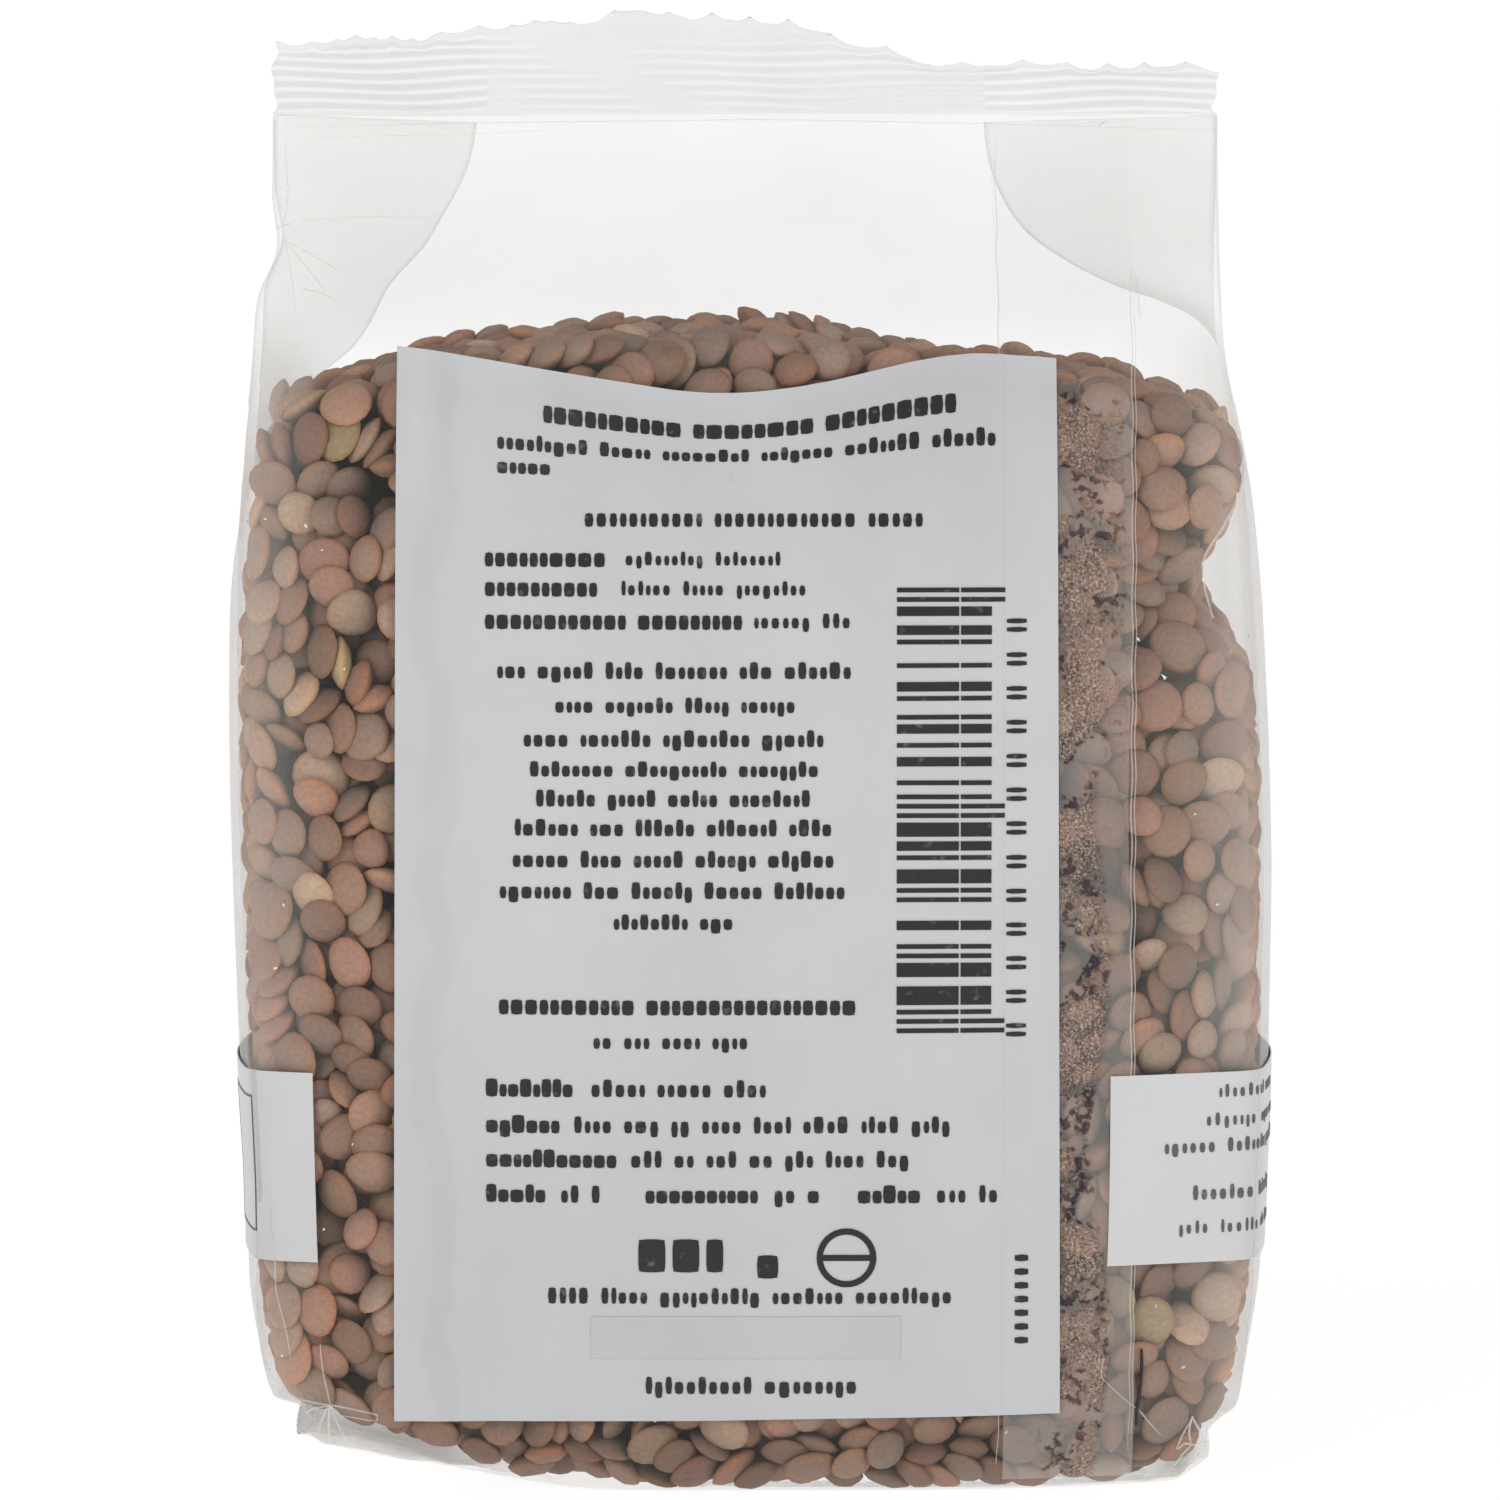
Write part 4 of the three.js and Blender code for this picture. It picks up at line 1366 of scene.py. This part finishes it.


# Seed coat: two mottled colours on the face, another at the rim, and a fine grain, darkened or lightened by
# the painted shade given in
def fillSeedCoat(graph, given):
    place = given["Place"]
    patches = graph.ranged(graph.noise(place, 330, 2), 0.38, 0.62, 0, 1)
    face = graph.mixed(patches, given["Face"], given["Mottle"])
    ragged = graph.maths("MULTIPLY_ADD", graph.noise(place, 500, 2), 0.3, -0.15)
    edge = graph.ranged(graph.maths("ADD", given["Reach"], ragged), 0.74, 1.04, 0, 1)
    shade = graph.ranged(given["Tint"], 0, 1, 0.74, 1.30)
    speck = graph.ranged(graph.noise(place, 2300, 3), 0.3, 0.7, 0.88, 1.12)
    # painted shade and light: the colour is darkened for deep and low lentils and lightened for those at the
    # sides
    paintedLightAndShade = graph.ranged(given["Sunk"], -0.6, 1, 1.55, 0.42)
    return {
        "Color": graph.scaled(graph.mixed(edge, face, given["Rim"]), graph.product(shade, speck, paintedLightAndShade)),
        "Normal": graph.bump(graph.noise(place, 2600, 2), 0.3, 0.06 * mm),
    }


seedCoat = newGroup(
    "seedCoat",
    dict(
        Place="Vector", Face="Color", Mottle="Color", Rim="Color",
        Reach="Float", Tint="Float", Sunk="Float",
    ),
    dict(Color="Color", Normal="Vector"), fillSeedCoat,
)


def lentilMaterial(kind):
    material, graph, shader = newMaterial("skin_" + kind["name"])
    made = graph.group(
        seedCoat, Place=graph.place(), Face=kind["face"], Mottle=kind["mottle"], Rim=kind["rim"],
        Reach=graph.attribute("rim"), Tint=graph.attribute("tint"), Sunk=graph.attribute("painted_shade"),
    )
    graph.give(shader, {"Base Color": made["Color"], "Normal": made["Normal"]})
    graph.give(shader, {"Roughness": 0.68, "Specular IOR Level": 0.25})
    return material


# Painted shade: the core is coloured far darker than the lentils, standing in for the shade deep among them
def coreMaterial():
    material, graph, shader = newMaterial("core_painted_shade")
    cells = graph.node("TexVoronoi", Vector=graph.place(), Scale=190)
    shade = graph.ranged(cells.outputs["Distance"], 0, 0.8, 0, 1)
    colour = graph.mixed(shade, (0.10, 0.062, 0.044), (0.03, 0.018, 0.012))
    graph.give(shader, {"Base Color": colour, "Roughness": 0.8})
    return material


# Film: seen through, with a faint milkiness, and a painted sheen that grows as it turns away: its colour
# whitens and it grows more opaque, in place of a reflection
clearFilm = dict(power=2.2, gloss=0.4, tone=(0.66, 0.645, 0.60), metal=0.06, crinkle=110, depth=0.03)
crimpedFilm = dict(power=2.2, gloss=0.35, tone=(0.50, 0.495, 0.465), metal=0.06, crinkle=420, depth=0.4)
seamFilm = dict(power=2.2, gloss=0.4, tone=(0.66, 0.63, 0.60), metal=0.06, crinkle=300, depth=0.2, sheen=0.5)
baseFilm = dict(
    power=1.6, gloss=0.35, tone=(0.78, 0.72, 0.645), metal=0.05, crinkle=500, depth=0.5, sheen=0.08,
)
# painted highlight: whitish, milky film laid along the folds
creaseHighlight = dict(
    power=1.6, gloss=0.3, tone=(0.90, 0.89, 0.87), metal=0.1, crinkle=300, depth=0.1, sheen=0.5, haze=0.25,
)
# painted sheen: the whitish colour the film turns to as it is seen edge on
paintedSheenTone = (0.93, 0.92, 0.90)  # film seen edge on


# Film cloud: drifts of milkiness round a given value, and fine crinkles
def fillFilmCloud(graph, given):
    drift = graph.ranged(graph.noise(given["Place"], 70, 4), 0.3, 0.7, 0.86, 1.14)
    crinkle = graph.noise(given["Place"], given["Crinkle"], 3)
    return {
        "Haze": graph.product(given["Haze"], drift),
        "Normal": graph.bump(crinkle, given["Depth"], 0.15 * mm),
    }


filmCloud = newGroup(
    "filmCloud", dict(Place="Vector", Haze="Float", Crinkle="Float", Depth="Float"),
    dict(Haze="Float", Normal="Vector"), fillFilmCloud,
)


def filmMaterial(name, look):
    material, graph, shader = newMaterial(name)
    haze = look["haze"] if "haze" in look else graph.attribute("haze")
    most = look["sheen"] if "sheen" in look else graph.attribute("sheen")
    made = graph.group(
        filmCloud, Place=graph.place(), Haze=haze, Crinkle=look["crinkle"], Depth=look["depth"],
    )
    # painted sheen: the film's whiteness and opacity grow with how far it turns away
    facing = graph.node("LayerWeight", Blend=0.5).outputs["Facing"]
    sheen = graph.maths("POWER", facing, look["power"])
    both = graph.maths("MULTIPLY_ADD", sheen, most, made["Haze"], clamp=True)
    colour = graph.mixed(graph.ranged(facing, 0.35, 0.95, 0, 1), look["tone"], paintedSheenTone)
    graph.give(shader, {"Base Color": colour, "Alpha": both, "Normal": made["Normal"]})
    graph.give(shader, {"Metallic": look["metal"], "Specular IOR Level": 0.2, "Roughness": look["gloss"]})
    return material, graph, shader, both


# Where the seam's second layer stuck to the first it is frosted with light and dark grains
def seamMaterial():
    material, graph, shader, clear = filmMaterial("seam_film", seamFilm)
    place = graph.place()
    weld = graph.attribute("weld")
    blotch = graph.noise(place, 165, 4)
    patches = graph.ranged(blotch, 0.45, 0.55, 0.12, 1.0)
    frost = graph.ranged(graph.noise(place, 4600, 3), 0.34, 0.64, 0.15, 0.75)
    # Dark specks gather along the borders of the frosted blotches
    border = graph.ranged(graph.off(blotch, 0.47), 0, 0.05, 1, 0)
    speckled = graph.ranged(graph.noise(place, 1300, 4), 0.47, 0.55, 0, 0.85)
    dark = graph.product(border, speckled, weld)
    together = graph.maths("MAXIMUM", graph.product(frost, patches, weld), dark)
    fine = graph.ranged(graph.noise(place, 3600, 3), 0.36, 0.64, 0, 1)
    sand = graph.mixed(fine, (0.14, 0.088, 0.066), (0.68, 0.54, 0.455))
    grains = graph.mixed(graph.ranged(dark, 0.1, 0.5, 0, 1), sand, (0.055, 0.045, 0.06))
    shown = graph.ranged(together, 0.12, 0.3, 0, 1)
    colour = graph.mixed(shown, seamFilm["tone"], grains)
    graph.give(shader, {"Base Color": colour, "Alpha": graph.maths("MAXIMUM", clear, together)})
    return material


# Paper: a coated label, faintly clouded in upright streaks, with painted shade laid over it
def fillPaper(graph, given):
    streaks = graph.node("Mapping", Vector=given["Place"], Scale=(60, 60, 14))
    cloud = graph.ranged(graph.noise(streaks.outputs["Vector"], 1.0, 5), 0.3, 0.7, 0.955, 1.03)
    swell = graph.noise(given["Place"], 130, 1)
    return {
        "Color": graph.scaled(given["Tone"], graph.product(cloud, paintedLabelShade(graph, given["Place"]))),
        "Normal": graph.bump(swell, 0.5, 0.6 * mm),
    }


# Painted shade on the label: a wavy upright wrinkle near its left edge darkened, a faint darker line where
# the seam's edge lies under it near the right, and a foot painted a little darker as if in shade
def paintedLabelShade(graph, place):
    measures = graph.node("SeparateXYZ", Vector=place).outputs
    wander = graph.ranged(graph.noise(place, 85, 2), 0.3, 0.7, -1.6 * mm, 1.6 * mm)
    fold = graph.off(graph.maths("ADD", measures["X"], wander), -31.2 * mm)
    left = graph.ranged(fold, 0.9 * mm, 1.9 * mm, 0.955, 1)
    right = graph.ranged(graph.off(measures["X"], 24.9 * mm), 0.05 * mm, 0.35 * mm, 0.97, 1)
    return graph.product(left, right, graph.ranged(measures["Z"], 8 * mm, 55 * mm, 0.945, 1.012))


paper = newGroup("paper", dict(Place="Vector", Tone="Color"), dict(Color="Color", Normal="Vector"), fillPaper)


def paperMaterial(name, tone, gloss):
    material, graph, shader = newMaterial(name)
    made = graph.group(paper, Place=graph.place(), Tone=tone)
    graph.give(shader, {"Base Color": made["Color"], "Normal": made["Normal"], "Roughness": gloss})
    return material


def inkMaterial(name, ink, faded):
    material, graph, shader = newMaterial(name)
    worn = graph.ranged(graph.noise(graph.place(), 700, 4), 0.62, 0.72, 0, 1)
    graph.give(shader, {"Base Color": graph.mixed(worn, ink, faded), "Roughness": 0.45})
    return material


def fleckMaterial():
    material, graph, shader = newMaterial("husk")
    tone = graph.noise(graph.place(), 400, 2)
    colour = graph.mixed(tone, (0.78, 0.70, 0.58), (0.92, 0.88, 0.80))
    graph.give(shader, {"Base Color": colour, "Roughness": 0.5})
    return material


# Stage, lights and camera

stage = dict(
    floor=7.0, bend=0.4, lean=0.1, wall=1.4,  # the floor rises into a wall behind the bag
    elevation=6.0, distance=1.25, aim=71.8 * mm, frameWidth=150 * mm, sensor=36, lightAim=(0, 0, 0.07),
)
lights = [
    dict(name="key", place=(-0.55, -0.85, 0.75), size=(0.6, 0.6), watts=4.0),
    dict(name="fill", place=(0.75, -0.75, 0.45), size=(0.5, 0.7), watts=2.6),
]


def buildStage():
    deselectAll()
    bpy.ops.mesh.primitive_plane_add(size=stage["floor"], location=(0, 0, 0))
    floor = newest("floor")
    startEdit(floor, "EDGE")
    bpy.ops.object.mode_set(mode="OBJECT")
    for edge in floor.data.edges:
        ends = [floor.data.vertices[i].co for i in edge.vertices]
        edge.select = all(end.y > 0.9 for end in ends)
    bpy.ops.object.mode_set(mode="EDIT")
    for move in ((0, stage["bend"], stage["bend"]), (0, stage["lean"], stage["wall"])):
        bpy.ops.mesh.extrude_region_move(TRANSFORM_OT_translate={"value": move})
    endEdit()
    material, graph, shader = newMaterial("floor_white")
    colour = graph.mixed(graph.noise(graph.place(), 3, 2), (0.15, 0.15, 0.15), (0.17, 0.17, 0.17))
    graph.give(shader, {"Base Color": colour, "Roughness": 0.9})
    graph.give(shader, {"Emission Color": (1, 1, 1), "Emission Strength": 0.91})
    floor.data.materials.append(material)


def turnTo(piece, place, aim):
    piece.location = place
    piece.rotation_euler = (Vector(aim) - Vector(place)).to_track_quat("-Z", "Y").to_euler()


def addLight(name, place, size, watts):
    data = bpy.data.lights.new(name, "AREA")
    data.shape = "RECTANGLE"
    data.size, data.size_y = size
    data.energy = watts
    turnTo(linked(name, data), place, stage["lightAim"])


def buildLights():
    world = bpy.data.worlds.new("studio")
    bpy.context.scene.world = world
    world.use_nodes = True
    background = world.node_tree.nodes["Background"]
    background.inputs["Color"].default_value = (1, 1, 1, 1)
    background.inputs["Strength"].default_value = 0.28
    for light in lights:
        addLight(**light)
    bpy.context.scene.view_settings.view_transform = "Standard"
    cycles = bpy.context.scene.cycles
    cycles.transparent_max_bounces = 14
    cycles.adaptive_threshold = 0.04
    cycles.max_bounces = 4
    cycles.diffuse_bounces = 2
    cycles.glossy_bounces = 2


def buildCamera():
    angle = math.radians(stage["elevation"])
    distance = stage["distance"]
    data = bpy.data.cameras.new("camera")
    camera = linked("camera", data)
    data.sensor_width = stage["sensor"]
    data.lens = stage["sensor"] * distance / stage["frameWidth"]
    aim = Vector((0, 0, stage["aim"]))
    turnTo(camera, aim + Vector((0, -distance * math.cos(angle), distance * math.sin(angle))), aim)
    bpy.context.scene.camera = camera


buildCamera()
buildStage()
buildLights()

filmPiece = buildFilmBase()
baseTree = skinTree(filmPiece)
foldPiece = buildBaseFold(filmPiece)
field = DepthField(filmPiece)
print("depth field:", tuple(field.size), "shell volume cm3", round(field.volume * 1e6, 1))
lentilPieces = placeLentils(field, *packLentils(field))
for piece, kind in zip(lentilPieces, kinds):
    piece.data.materials.append(lentilMaterial(kind))
corePiece = buildCore()
corePiece.data.materials.append(coreMaterial())
drawFilmIn(filmPiece, lentilPieces)
sealPiece = buildSeal(filmPiece)
shadeSmooth(filmPiece)
fleckPiece = buildFlecks(baseTree)
labelPiece = buildBackLabel(baseTree)
bandPiece, bandLine = buildBandLabel(baseTree)
onBack = onBackLabel(skinTree(labelPiece), printing["lift"])
printPiece = inkPiece("label_print", backPrint(), onBack)
patch = inkGrid(*datePatch["ends"], datePatch["low"], datePatch["high"])
patchPiece = inkPiece("label_patch", [patch], onBack)
onBand = onBandLabel(bandLine, printing["lift"])
sidePiece = inkPiece("side_print", sidePrint(bandLine["length"][-1] / mm), onBand)
seamPiece = buildSeam(baseTree)
creasePiece = buildLines("film_creases", creases, baseTree, 0.2 * mm)
markPiece = buildLines("seam_mark", markLine, baseTree, 0.25 * mm)

looks = [
    (filmPiece, filmMaterial("clear_film", clearFilm)[0]),
    (sealPiece, filmMaterial("crimped_film", crimpedFilm)[0]),
    (foldPiece, filmMaterial("base_film", baseFilm)[0]),
    (creasePiece, filmMaterial("crease_painted_highlight", creaseHighlight)[0]),
    (seamPiece, seamMaterial()),
    (labelPiece, paperMaterial("label_paper", (0.608, 0.611, 0.626), 0.4)),
    (bandPiece, paperMaterial("band_paper", (0.680, 0.682, 0.678), 0.4)),
    (patchPiece, paperMaterial("blank_patch", (0.585, 0.585, 0.585), 0.5)),
    (printPiece, inkMaterial("black_ink", (0.012, 0.012, 0.013), (0.10, 0.10, 0.105))),
    (sidePiece, inkMaterial("grey_ink", (0.10, 0.10, 0.12), (0.22, 0.22, 0.24))),
    (markPiece, inkMaterial("mark_black", (0.010, 0.010, 0.010), (0.05, 0.04, 0.04))),
    (fleckPiece, fleckMaterial()),
]
for piece, material in looks:
    piece.data.materials.clear()
    piece.data.materials.append(material)

filmPieces = [filmPiece, sealPiece, foldPiece, seamPiece, creasePiece, markPiece]
for piece in [*filmPieces, corePiece, fleckPiece, *lentilPieces]:
    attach(piece, "root")
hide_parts("bag")
for piece in (labelPiece, bandPiece, printPiece, sidePiece, patchPiece):
    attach(piece, "root")
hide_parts("back_label")
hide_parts("band_label")
